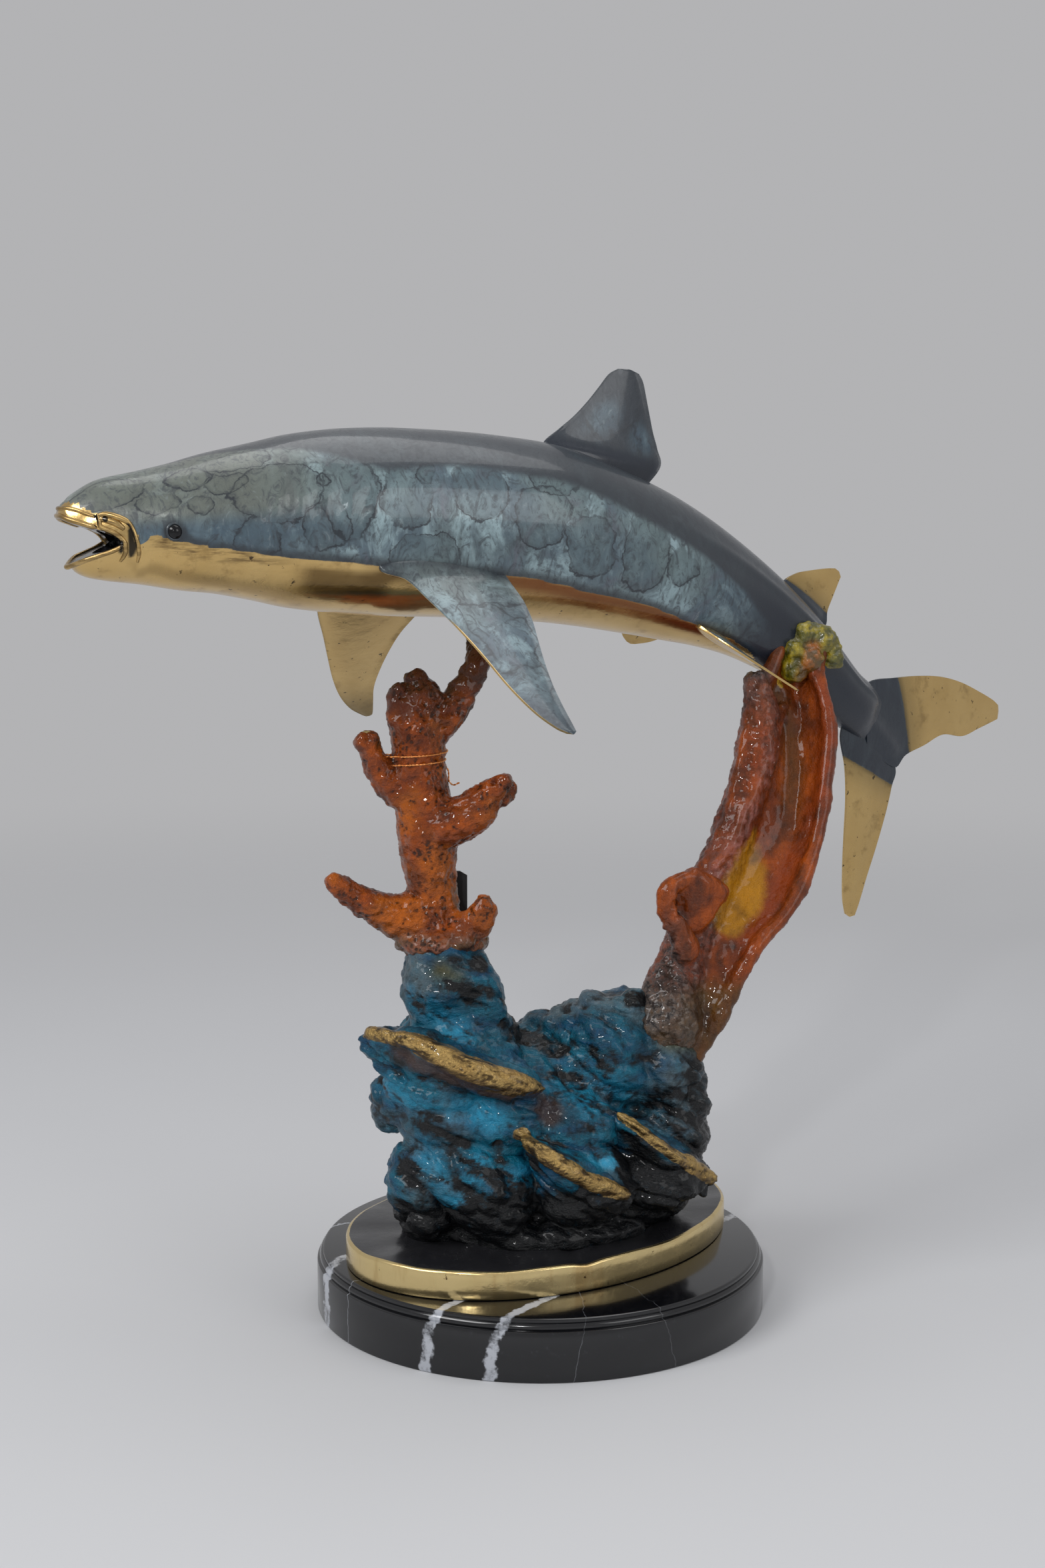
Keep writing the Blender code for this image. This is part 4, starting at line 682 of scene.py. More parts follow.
def body_point(s, angle, out=0.0):
    centre, left, up, _, half_height, half_width = body_frame(s)
    c = cos(radians(angle))
    d = sin(radians(angle))
    x = (half_width + out) * (abs(c) ** (2 / SECTION_POWER)) * (1 if c >= 0 else -1)
    z = (half_height + out) * (abs(d) ** (2 / SECTION_POWER)) * (1 if d >= 0 else -1)
    return centre + left * x + up * z


def head_point(s, side, height, out=0.0):
    centre, left, _, _, half_height, half_width = body_frame(s)
    rel = min(abs(Z_AXIS + height - centre.z) / half_height, 0.995)
    x = half_width * (1 - rel ** SECTION_POWER) ** (1 / SECTION_POWER) + out
    point = centre + left * (side * x)
    point.z = Z_AXIS + height
    return point


SAMPLES = [BODY_END * k / 400 for k in range(401)]
SAMPLE_FRAMES = [body_frame(s) for s in SAMPLES]


def on_body(co):
    """Distance from the snout and angle round the body of each point."""
    centre = np.array([f[0] for f in SAMPLE_FRAMES])
    aft = np.array([f[3] for f in SAMPLE_FRAMES])
    offset = np.abs(co @ aft.T - (centre * aft).sum(1))
    far = np.linalg.norm(co[:, None, :2] - centre[None, :, :2], axis=2)
    best = (offset + 0.15 * far).argmin(1)
    left = np.array([f[1] for f in SAMPLE_FRAMES])[best]
    up = np.array([f[2] for f in SAMPLE_FRAMES])[best]
    hh = np.array([f[4] for f in SAMPLE_FRAMES])[best]
    hw = np.array([f[5] for f in SAMPLE_FRAMES])[best]
    rel = co - centre[best]
    x = (rel * left).sum(1) / hw
    z = (rel * up).sum(1) / hh
    power = SECTION_POWER / 2
    angle = np.degrees(np.arctan2(np.sign(z) * np.abs(z) ** power, np.sign(x) * np.abs(x) ** power))
    return np.array(SAMPLES)[best], angle


def side_angle(angle):
    """The same angle on the left side."""
    return np.where(np.abs(angle) > 90, np.sign(angle) * 180 - angle, angle)


# Marble base
def shape_marble():
    r = MARBLE_RADIUS
    profile = [(r - 0.0012, 0.0), (r - 0.0003, 0.0004), (r, 0.0013), (r, 0.0150), (r, 0.0298),
               (r - 0.0003, 0.0305), (r - 0.0010, 0.0308), (r - 0.0019, 0.0311), (r - 0.0016, 0.0320),
               (r - 0.0015, 0.0330), (r - 0.0019, 0.0340), (r - 0.0026, 0.0347), (r - 0.0035, 0.0349),
               (r - 0.0034, 0.0358), (r - 0.0036, 0.0367), (r - 0.0042, 0.0373), (r - 0.0050, MARBLE_HEIGHT)]
    bm = bmesh.new()
    verts = [bm.verts.new((x, 0.0, z)) for x, z in [(0.0, 0.0)] + profile + [(0.0, MARBLE_HEIGHT)]]
    edges = [bm.edges.new(pair) for pair in zip(verts, verts[1:])]
    bmesh.ops.spin(bm, geom=verts + edges, cent=(0, 0, 0), axis=(0, 0, 1), angle=2 * pi, steps=180, use_merge=True)
    bmesh.ops.remove_doubles(bm, verts=bm.verts, dist=1e-6)
    bmesh.ops.recalc_face_normals(bm, faces=bm.faces)
    marble = keep("marble_base_polished", bm)
    for x, y in BOLTS:
        for radius, low, high in ((0.0043, -0.01, 0.05), (0.012, -0.01, 0.0095)):
            tool = bmesh.new()
            made = bmesh.ops.create_cone(tool, cap_ends=True, segments=40, radius1=radius, radius2=radius,
                                         depth=high - low)["verts"]
            bmesh.ops.translate(tool, vec=(x, y, (low + high) / 2), verts=made)
            carve(marble, keep("hole", tool))
    marble.data.set_sharp_from_angle(angle=radians(32))
    return marble


def marble_finish():
    mat, tree, shader = finish_of("polished_black_marble", 0.15, 0.03)
    here = spot(tree)
    dark = blend(tree, grain(tree, here, 30, 6, 0.6), srgb(5, 5, 7), srgb(16, 17, 21))
    speck = step(tree, grain(tree, here, 260, 3, 0.7), 0.60, 0.74)
    dark = blend(tree, times(tree, speck, 0.25), dark, srgb(64, 66, 72))
    warp = grain(tree, here, 26, 5, 0.65)
    fray = grain(tree, here, 95, 4, 0.7)
    total = None
    # each vein: a standing plane through two points of the top, half width, waviness, lean and strength
    for (x1, y1), (x2, y2), width, wave, tilt, strength in (
            ((-0.0500, -0.1096), (-0.0640, -0.1240), 0.0028, 0.018, -0.08, 1.0),
            ((0.0049, -0.1026), (-0.0235, -0.1380), 0.0030, 0.020, -0.14, 1.0),
            ((-0.1060, -0.0200), (-0.1320, -0.0470), 0.0038, 0.030, 0.10, 1.0),
            ((-0.1119, -0.0757), (-0.1160, -0.0783), 0.0003, 0.014, 0.05, 0.55),
            ((0.0258, -0.1376), (0.0245, -0.1200), 0.0002, 0.010, 0.20, 0.22),
            ((0.0721, -0.1200), (0.0600, -0.0950), 0.0002, 0.014, -0.22, 0.14),
            ((0.1100, 0.0850), (0.0200, 0.1380), 0.0022, 0.030, 0.10, 0.9),
            ((-0.0900, 0.1070), (-0.0300, 0.0900), 0.0008, 0.030, 0.20, 0.7),
            ((-0.1390, 0.0200), (-0.0800, 0.0600), 0.0014, 0.030, -0.10, 0.8)):
        along_x = x2 - x1
        along_y = y2 - y1
        size = (along_x ** 2 + along_y ** 2) ** 0.5
        n = (-along_y / size, along_x / size, tilt)
        dot = vector(tree, "DOT_PRODUCT", here, n)
        away = minus(tree, dot.outputs["Value"], n[0] * x1 + n[1] * y1 + n[2] * MARBLE_HEIGHT)
        away = plus(tree, away, uneven(tree, warp, wave))
        away = calc(tree, "ABSOLUTE", away)
        reach = times(tree, fray, 2.0 * width)
        vein = step(tree, minus(tree, away, reach), -0.3 * width, 0.25 * width, strength, 0.0)
        total = vein if total is None else calc(tree, "MAXIMUM", total, vein)
    total = times(tree, total, step(tree, grain(tree, here, 70, 5, 0.7), 0.32, 0.52, 0.10, 1.0))
    colour = blend(tree, times(tree, total, 0.9), dark, srgb(186, 190, 198))
    fill(tree, shader.inputs["Base Color"], colour)
    shader.inputs["Roughness"].default_value = 0.14
    shader.inputs["Specular IOR Level"].default_value = 0.6
    return mat


# Plinth
def plinth_outline(grow, sides=180):
    out = []
    for k in range(sides):
        a = 2 * pi * k / sides
        wobble = 1 + 0.012 * cos(2 * a + 0.7) + 0.010 * cos(3 * a - 0.4)
        x = (PLINTH_HALF_LENGTH * wobble + grow) * cos(a)
        y = (PLINTH_HALF_WIDTH * wobble + grow) * sin(a)
        out.append((x * cos(PLINTH_TURN) - y * sin(PLINTH_TURN), x * sin(PLINTH_TURN) + y * cos(PLINTH_TURN)))
    return out


def shape_plinth():
    bm = bmesh.new()
    rings = []
    for grow, z in ((-0.0016, Z_FOOT), (-0.0006, Z_FOOT + 0.0003), (0.0, Z_FOOT + 0.0014),
                    (0.0001, Z_FOOT + 0.006), (0.0, Z_FOOT + 0.012), (0.0, Z_TOP - 0.0016),
                    (-0.0003, Z_TOP - 0.0007), (-0.0012, Z_TOP - 0.0001), (-0.0030, Z_TOP + 0.0001),
                    (-0.012, Z_TOP), (-0.03, Z_TOP), (-0.06, Z_TOP)):
        ring = []
        for k, (x, y) in enumerate(plinth_outline(grow)):
            top = ease(Z_FOOT + 0.008, Z_TOP, z)
            wave = 0.0004 * sin(k * 0.21) + 0.0003 * sin(k * 0.47 + 1.0)
            notch = -0.0016 * exp(-((k - 127) / 1.6) ** 2)
            ring.append(Vector((x, y, z + top * min(0.0, wave + notch - 0.0004))))
        rings.append(ring)
    spread(bm, rings, pole=False)
    bmesh.ops.recalc_face_normals(bm, faces=bm.faces)
    plinth = keep("plinth", bm)
    plinth.data.set_sharp_from_angle(angle=radians(40))
    tag = np.zeros(len(plinth.data.vertices), np.int32)
    plinth.data.attributes["place"].data.foreach_get("value", tag)
    paint(plinth, "rim", tag // 180 < 8)
    return plinth


def plinth_finish():
    mat, tree, shader = finish_of("plinth_black_and_gold", 0.15, 0.2)
    here = spot(tree)
    black = blend(tree, grain(tree, here, 40, 5, 0.6), srgb(20, 20, 22), srgb(42, 42, 46))
    scuff = step(tree, grain(tree, here, 180, 5, 0.75), 0.60, 0.72)
    black = blend(tree, times(tree, scuff, 0.5), black, srgb(78, 76, 76))
    band = spot(tree, (1, 1, 0.25))
    gold = blend(tree, grain(tree, band, 22, 4, 0.5), srgb(214, 188, 128), srgb(236, 214, 160))
    gold = blend(tree, step(tree, grain(tree, band, 60, 4, 0.6), 0.52, 0.70, 0.0, 0.5), gold, srgb(178, 140, 82))
    pits = step(tree, grain(tree, here, 210, 3, 0.6), 0.665, 0.70)
    pits = times(tree, pits, step(tree, grain(tree, here, 24, 3, 0.5), 0.50, 0.60))
    gold = blend(tree, pits, gold, srgb(70, 45, 22))
    rim = painted(tree, "rim")
    edge = step(tree, plus(tree, rim, uneven(tree, grain(tree, here, 120, 3), 0.5)),
                0.40, 0.60)
    fill(tree, shader.inputs["Base Color"], blend(tree, edge, black, gold))
    fill(tree, shader.inputs["Metallic"], edge)
    rough = step(tree, grain(tree, here, 30, 4), 0.3, 0.7, 0.22, 0.36)
    fill(tree, shader.inputs["Roughness"], plus(tree, rough, times(tree, edge, -0.03)))
    fill(tree, shader.inputs["Normal"], bumps(tree, grain(tree, here, 55, 4, 0.6), 0.0008, 0.5))
    return mat


# Rock
BRASS_EDGES = [
    [(-0.105, -0.062, 0.188, 0.0050), (-0.091, -0.071, 0.188, 0.0062), (-0.075, -0.084, 0.188, 0.0082),
     (-0.059, -0.086, 0.182, 0.0105), (-0.043, -0.088, 0.174, 0.0120), (-0.028, -0.086, 0.167, 0.0125),
     (-0.012, -0.082, 0.161, 0.0100), (-0.001, -0.072, 0.156, 0.0060)],
    [(-0.014, -0.070, 0.129, 0.0050), (-0.004, -0.088, 0.126, 0.0062), (0.005, -0.096, 0.121, 0.0070),
     (0.018, -0.095, 0.114, 0.0072), (0.028, -0.093, 0.107, 0.0068), (0.041, -0.087, 0.099, 0.0058),
     (0.051, -0.081, 0.094, 0.0050)],
    [(0.049, -0.054, 0.134, 0.0036), (0.059, -0.060, 0.129, 0.0044), (0.072, -0.058, 0.118, 0.0050),
     (0.087, -0.054, 0.107, 0.0058), (0.098, -0.041, 0.096, 0.0062), (0.106, -0.034, 0.089, 0.0056)],
]
DEEP_CREVICE = [(-0.026, -0.072, 0.124, 0.0045), (-0.020, -0.084, 0.104, 0.0055), (-0.022, -0.086, 0.086, 0.0050),
                (-0.024, -0.084, 0.066, 0.0050)]


NECK_FILL = [(-0.044, -0.028, 0.224, 0.0100), (-0.0355, -0.030, 0.203, 0.0135), (-0.0300, -0.030, 0.186, 0.0135)]
# Patches of colour on the rock: weight, softness and path
ROCK_DARK = [
    (0.8, 0.6, [(-0.020, -0.010, 0.180, 0.014), (-0.003, -0.018, 0.173, 0.012), (0.010, -0.024, 0.166, 0.010)]),
    (0.9, 0.6, [(0.055, -0.058, 0.104, 0.016), (0.090, -0.040, 0.080, 0.024)]),
    (0.6, 0.6, [(-0.085, -0.070, 0.176, 0.012), (-0.045, -0.082, 0.160, 0.011), (-0.020, -0.080, 0.152, 0.008)]),
    (-0.8, 0.6, [(-0.048, -0.074, 0.143, 0.014), (-0.030, -0.072, 0.138, 0.014)]),
    (-0.5, 0.6, [(-0.068, -0.072, 0.115, 0.014), (-0.050, -0.070, 0.090, 0.014)]),
    (1.1, 0.9, [(-0.055, -0.046, 0.228, 0.007), (-0.045, -0.045, 0.227, 0.009), (-0.034, -0.039, 0.225, 0.010)]),
    (0.8, 0.9, [(-0.046, -0.046, 0.212, 0.009), (-0.034, -0.038, 0.206, 0.010), (-0.040, -0.034, 0.216, 0.014),
                (-0.036, -0.020, 0.200, 0.014)]),
]
ROCK_LIGHT = [
    (0.9, 0.9, [(-0.052, -0.074, 0.143, 0.014), (-0.030, -0.072, 0.138, 0.016), (-0.014, -0.064, 0.137, 0.010)]),
    (0.8, 0.9, [(-0.080, -0.040, 0.206, 0.012), (-0.068, -0.046, 0.196, 0.014), (-0.044, -0.052, 0.184, 0.012)]),
    (0.8, 0.9, [(-0.070, -0.072, 0.118, 0.014), (-0.056, -0.072, 0.098, 0.014), (-0.042, -0.076, 0.078, 0.014)]),
    (1.2, 0.8, [(0.020, -0.076, 0.126, 0.005), (0.034, -0.076, 0.115, 0.007), (0.052, -0.064, 0.103, 0.006)]),
    (0.35, 0.9, [(0.020, -0.040, 0.156, 0.020), (0.052, -0.036, 0.139, 0.020)]),
    (0.7, 0.9, [(-0.096, -0.045, 0.160, 0.014), (-0.085, -0.058, 0.152, 0.016), (-0.066, -0.072, 0.146, 0.012)]),
    (0.6, 0.9, [(-0.036, -0.080, 0.112, 0.014), (-0.046, -0.080, 0.084, 0.012), (-0.010, -0.074, 0.104, 0.012)]),
    (0.5, 0.9, [(0.006, -0.052, 0.158, 0.016), (0.030, -0.060, 0.140, 0.014)]),
]
ROCK_GREY = [
    (0.9, 0.7, [(0.012, -0.002, 0.184, 0.015), (0.041, -0.010, 0.194, 0.018), (0.066, -0.018, 0.190, 0.016)]),
    (0.9, 0.7, [(0.094, -0.018, 0.154, 0.013), (0.098, -0.013, 0.128, 0.013), (0.094, -0.023, 0.108, 0.013)]),
    (0.8, 0.8, [(-0.074, -0.074, 0.098, 0.012), (-0.068, -0.070, 0.074, 0.013)]),
    (0.8, 0.8, [(-0.094, -0.042, 0.132, 0.013)]),
    (1.0, 0.9, [(-0.076, -0.036, 0.236, 0.010), (-0.074, -0.040, 0.222, 0.010), (-0.070, -0.044, 0.208, 0.008)]),
    (0.8, 0.9, [(-0.084, -0.028, 0.203, 0.010), (-0.080, -0.034, 0.224, 0.012)]),
]
ROCK_RUST = [
    (1.0, 0.9, [(-0.040, -0.084, 0.166, 0.008), (-0.015, -0.078, 0.157, 0.010), (-0.002, -0.072, 0.153, 0.008)]),
    (0.9, 0.7, [(-0.085, -0.078, 0.176, 0.008), (-0.059, -0.089, 0.169, 0.011), (-0.035, -0.091, 0.159, 0.012),
                (-0.012, -0.085, 0.150, 0.010)]),
    (1.0, 0.6, [(-0.006, -0.060, 0.143, 0.012), (0.006, -0.062, 0.137, 0.012)]),
]
ROCK_OLIVE = [
    (0.9, 1.0, [(-0.060, -0.045, 0.221, 0.012), (-0.050, -0.042, 0.216, 0.010)]),
    (1.0, 0.9, [(0.082, -0.020, 0.176, 0.018), (0.094, -0.010, 0.170, 0.016)]),
]
# Where the rock's skin is flat under the first ledge, and the step below it
LEDGE_FACE = [(-0.085, -0.072, 0.176, 0.016), (-0.045, -0.082, 0.160, 0.014), (-0.020, -0.080, 0.152, 0.008)]
LEDGE_STEP = [(-0.100, -0.060, 0.168, 0.004), (-0.060, -0.080, 0.152, 0.004), (-0.020, -0.080, 0.144, 0.004)]


def brass_share(co, out):
    """How much of the ledges' rubbed upper edge shows at each point."""
    brass = np.zeros(len(co))
    for rows in BRASS_EDGES:
        brass = np.maximum(brass, stroke(co, rows, 1.25, 0.45))
    return brass * ease(-0.75, -0.2, out[:, 2] - 0.5 * out[:, 1])


def ledge(outline):
    """Slab of rock from its outline, thickened downward."""
    bm = bmesh.new()
    top = [Vector((x, y, Z_TOP + z)) for x, y, z in outline]
    mid = sum(top, Vector()) / len(top)
    low = [p.lerp(mid, 0.20) - Vector((0, 0, 0.018)) for p in top]
    bmesh.ops.convex_hull(bm, input=[bm.verts.new(p) for p in top + low])
    bmesh.ops.delete(bm, geom=[v for v in bm.verts if not v.link_faces], context="VERTS")
    return bm


LAYERS = Matrix.Rotation(radians(LAYER_DIP), 3, "Y")    # the rock's layers dip to the right


def rock_noise(co):
    """Each point in the layers' own directions, and the roughness, crags and grooves that follow them."""
    strata = co @ np.array(LAYERS)
    rough = cloud(strata * np.array([0.5, 1.0, 1.6]), 95, 4, 1.0)
    crag = cloud(strata * np.array([0.7, 1.0, 1.5]), 42, 5, 15.0, "ridge")
    groove = cloud(strata * np.array([0.35, 1.0, 3.0]), 210, 3, 7.0)
    return strata, rough, crag, groove


def shape_rock():
    bm = bmesh.new()
    for x, y, z, rx, ry, rz in ROCK:
        boulder(bm, x, y, Z_TOP + z, rx, ry, rz)
    for outline in SLABS:
        merge(bm, ledge(outline))
    for rows in LEDGE_EDGES:
        round_limb(bm, raised(rows))
    round_limb(bm, raised(TRUNK[:2], 0.0014))
    round_limb(bm, NECK_FILL)
    rock = one_skin("rock", bm, 0.0016, 5)
    co = places(rock)
    out = normals(rock)
    brass = brass_share(co, out)
    lift, crease = relief(co)
    strata, rough, crag, groove = rock_noise(co)
    fine = cloud(co, 260, 3, 2.0)
    flat = stroke(co, LEDGE_FACE)
    calm = 1 - 0.75 * brass - 0.6 * flat
    lift = lift * calm + calm * (0.0014 * rough + 0.0011 * crag - 0.0004 * crease)
    lift += 0.00045 * fine + brass * 0.00075 * groove
    lift -= 0.0045 * stroke(co, DEEP_CREVICE)
    lift -= 0.0020 * stroke(co, LEDGE_STEP)
    inside = ease(Z_TOP + 0.004, Z_TOP - 0.002, co[:, 2])
    lift = np.where(inside > 0, np.minimum(lift, 0.0), lift)
    reshape(rock, co + out * lift[:, None])
    cut = bmesh.new()
    made = bmesh.ops.create_cube(cut, size=0.5)["verts"]
    bmesh.ops.translate(cut, vec=(0, 0, Z_TOP - 0.0025 - 0.25), verts=made)
    carve(rock, keep("below", cut))
    co = places(rock)
    out = normals(rock)
    crease = relief(co)[1]
    strata, rough, crag, groove = rock_noise(co)
    z = co[:, 2]
    patch = cloud(co, 20, 4, 31.0)
    dark = 0.28 * crease + 0.55 * ease(0.0, -0.55, rough)
    dark += 0.55 * ease(-0.25, -0.75, crag) + 0.50 * ease(0.05, 0.55, patch)
    dark += 1.0 * ease(0.104, 0.070, z + 0.010 * patch + 0.16 * np.clip(-co[:, 0] - 0.01, 0, 0.1) - 0.008)
    dark += stroke(co, DEEP_CREVICE, 1.2)
    light = strokes(co, ROCK_LIGHT)
    paint(rock, "light", light)
    grey = strokes(co, ROCK_GREY) + 0.45 * ease(0.25, 0.65, cloud(co, 26, 3, 71.0))
    grey += 0.5 * ease(0.060, 0.085, co[:, 0]) * ease(0.10, 0.13, z)
    paint(rock, "grey", grey)
    dark += 0.45 * ease(0.020, 0.080, co[:, 0]) * ease(0.17, 0.13, z) + 0.35 * ease(0.085, 0.100, co[:, 0])
    paint(rock, "groove", 0.5 + 0.5 * groove)
    paint(rock, "brass", brass_share(co, out))
    # The rubbed brass is painted darker brown on its faces that turn down
    paint(rock, "brass_dark_below", ease(0.45, -0.25, out[:, 2] - 0.5 * out[:, 1] + 0.25 * cloud(strata, 70, 3, 9.0)))
    rust = np.max([weight * stroke(co, path, 1, soft) for weight, soft, path in ROCK_RUST], axis=0)
    paint(rock, "rust", rust)
    dark += strokes(co, ROCK_DARK)
    paint(rock, "dark", dark)
    paint(rock, "olive", strokes(co, ROCK_OLIVE))
    return rock


def rock_finish():
    mat, tree, shader = finish_of("rock_turquoise_patina", 0.28, 0.05)
    here = spot(tree)
    layers = spot(tree, (0.6, 1.0, 1.7), (0, radians(24), 0))
    soft = grain(tree, here, 34, 5, 0.6)
    fine = grain(tree, here, 170, 4, 0.65)
    colour = blend(tree, step(tree, soft, 0.3, 0.7), srgb(2, 46, 66), srgb(12, 104, 128))
    colour = blend(tree, step(tree, grain(tree, layers, 60, 4, 0.6), 0.42, 0.68), colour, srgb(8, 66, 98))
    colour = over(tree, colour, "light", step(tree, soft, 0.25, 0.65, 0.35, 1.0), srgb(44, 156, 196))
    colour = over(tree, colour, "grey", step(tree, fine, 0.3, 0.7, 0.5, 1.0), srgb(92, 108, 114))
    colour = over(tree, colour, "olive", 0.9, srgb(80, 72, 18))
    colour = blend(tree, step(tree, fine, 0.46, 0.70, 0.0, 0.60), colour, srgb(4, 30, 40))
    shade = plus(tree, painted(tree, "dark"), uneven(tree, fine, 0.9))
    colour = blend(tree, step(tree, shade, 0.25, 0.95), colour, srgb(6, 8, 11))
    rust = times(tree, painted(tree, "rust"), step(tree, soft, 0.2, 0.6, 0.6, 1.0))
    colour = blend(tree, rust, colour, srgb(66, 48, 42))
    worn = plus(tree, painted(tree, "brass"), uneven(tree, grain(tree, layers, 190, 5, 0.7), 1.2))
    worn = minus(tree, worn, times(tree, rust, 0.30))
    worn = step(tree, worn, 0.42, 0.72)
    brass = blend(tree, grain(tree, here, 90, 4), srgb(128, 96, 50), srgb(206, 176, 112))
    lines = plus(tree, painted(tree, "groove"), uneven(tree, fine, 0.8))
    brass = blend(tree, step(tree, lines, 0.52, 0.22, 0.0, 0.85), brass, srgb(48, 34, 20))
    brass = blend(tree, step(tree, grain(tree, here, 45, 3), 0.50, 0.68, 0.0, 0.55), brass, srgb(96, 70, 36))
    # Darker brown on the brass's down-turned faces
    brass = over(tree, brass, "brass_dark_below", 0.95, srgb(72, 54, 36))
    colour = blend(tree, worn, colour, brass)
    fill(tree, shader.inputs["Base Color"], colour)
    shader.inputs["Specular IOR Level"].default_value = 0.25
    fill(tree, shader.inputs["Metallic"], times(tree, worn, 0.9))
    fill(tree, shader.inputs["Roughness"], step(tree, fine, 0.3, 0.7, 0.24, 0.46))
    height = plus(tree, times(tree, grain(tree, here, 330, 4, 0.7), 0.6), grain(tree, layers, 120, 5, 0.65))
    fill(tree, shader.inputs["Normal"], bumps(tree, height, 0.0026, 0.95))
    return mat


# Coral
STUB_TIP = [(-0.1062, -0.0260, 0.3562, 0.0056), (-0.1022, -0.0262, 0.3572, 0.0056)]
# Clefts and one swelling of the stubs: depth, softness and path
CORAL_CLEFTS = [
    (-0.0016, 0.6, [(-0.1043, -0.0300, 0.3620, 0.0022), (-0.1000, -0.0290, 0.3440, 0.0020)]),
    (-0.0035, 0.6, [(-0.0285, -0.0330, 0.3330, 0.0030)]),
    (-0.0012, 0.6, [(-0.0780, -0.0240, 0.3930, 0.0022), (-0.0760, -0.0260, 0.3800, 0.0020)]),
    (0.0010, 0.6, [(-0.0600, -0.0340, 0.3350, 0.0060), (-0.0400, -0.0350, 0.3420, 0.0040)]),
]
# Where the crown under the trunk is pink
CROWN_PINK = [(-0.069, -0.044, 0.276, 0.009), (-0.068, -0.047, 0.252, 0.014), (-0.058, -0.050, 0.243, 0.012),
              (-0.044, -0.048, 0.239, 0.010)]


def branch_seat():
    return body_point(0.2640, 262)


def raised(rows, more=0.0):
    """Rows from the plinth's top at their own height, made fuller by more."""
    return [(x, y, Z_TOP + z, r + more) for x, y, z, r in rows]


def shape_coral():
    bm = bmesh.new()
    seat = branch_seat()
    round_limb(bm, raised(TRUNK[:2], -0.004) + raised(TRUNK[2:]))
    head = [(seat.x, seat.y, seat.z - 0.016, 0.0087), (seat.x, seat.y, seat.z + 0.004, 0.0105)]
    round_limb(bm, raised(BRANCH) + head)
    for rows, more in zip(STUBS, (0.0024, 0.0008, 0.0018, 0.0010, 0.0008, 0.0016)):
        round_limb(bm, raised(rows, more))
    x, y, z, rx, ry, rz = CROWN
    boulder(bm, x, y, Z_TOP + z, rx, ry, rz)
    for x, y, z, r in KNOBS:
        boulder(bm, x, y, Z_TOP + z, r, r, r * 0.8, 3)
    for x, y, z, r in STUB_TIP:
        boulder(bm, x, y, z, r, r, r, 3)
    coral = one_skin("coral", bm, 0.0012, 6)
    co = places(coral)
    out = normals(coral)
    lump = cloud(co, 60, 3, 4.0)
    knob = cloud(co, 170, 3, 8.0)
    pit = cells(co * np.array([230, 230, 190]) + 1.1 * np.stack([knob, lump, knob], 1))
    cluster = ease(-0.30, 0.30, cloud(co, 60, 3, 12.0))
    hollow = np.exp(-(pit[:, 0] / 0.36) ** 2) * cluster
    lift = relief(co)[0] + 0.0009 * lump + 0.0012 * knob - 0.0013 * hollow
    lift += strokes(co, CORAL_CLEFTS)
    lift *= 1 - 0.85 * ease(seat.z - 0.012, seat.z - 0.002, co[:, 2])
    reshape(coral, co + out * lift[:, None])
    out = normals(coral)
    z = co[:, 2]
    paint(coral, "pit", 0.45 * hollow + 0.55 * cluster + ease(0.0, -0.5, knob) * 0.35)
    # Pink: partly a painted highlight on the faces turned to the left, towards the key lamp, partly pink tone at
    # the foot and on the crown
    left = ease(0.25, 0.95, -out[:, 0])
    pink = left * ease(-0.3, 0.4, cloud(co, 70, 3, 21.0)) + 0.7 * ease(0.246, 0.236, z)
    pink += 1.3 * stroke(co, CROWN_PINK, 1, 0.9) * ease(-0.5, 0.2, knob)
    paint(coral, "pink", pink)
    dark = 0.95 * ease(0.366, 0.396, z + 0.006 * lump) + 0.55 * ease(0.25, 0.8, cloud(co, 45, 3, 51.0))
    # Faces that turn down are painted darker: painted shade
    dark += 0.45 * ease(0.0, 0.8, -out[:, 2])
    paint(coral, "dark", dark)
    olive = ease(0.45, 1.0, out[:, 0]) * (0.35 + 0.6 * ease(-0.2, 0.5, cloud(co, 50, 3, 61.0)))
    olive += ease(0.243, 0.232, z) * ease(-0.2, 0.3, lump)
    olive += 0.7 * stroke(co, [(-0.095, -0.030, 0.246, 0.010), (-0.080, -0.022, 0.240, 0.010)], 1, 0.9)
    paint(coral, "olive", olive)
    brass = stroke(co, [(-0.1043, -0.026, 0.3625, 0.0058)], 1, 0.9)
    brass = np.maximum(brass, 0.7 * stroke(co, [(-0.078, -0.018, 0.3970, 0.0050)], 1, 0.7))
    paint(coral, "brass", 0.8 * brass * ease(0.1, 0.8, out[:, 2]))
    return coral


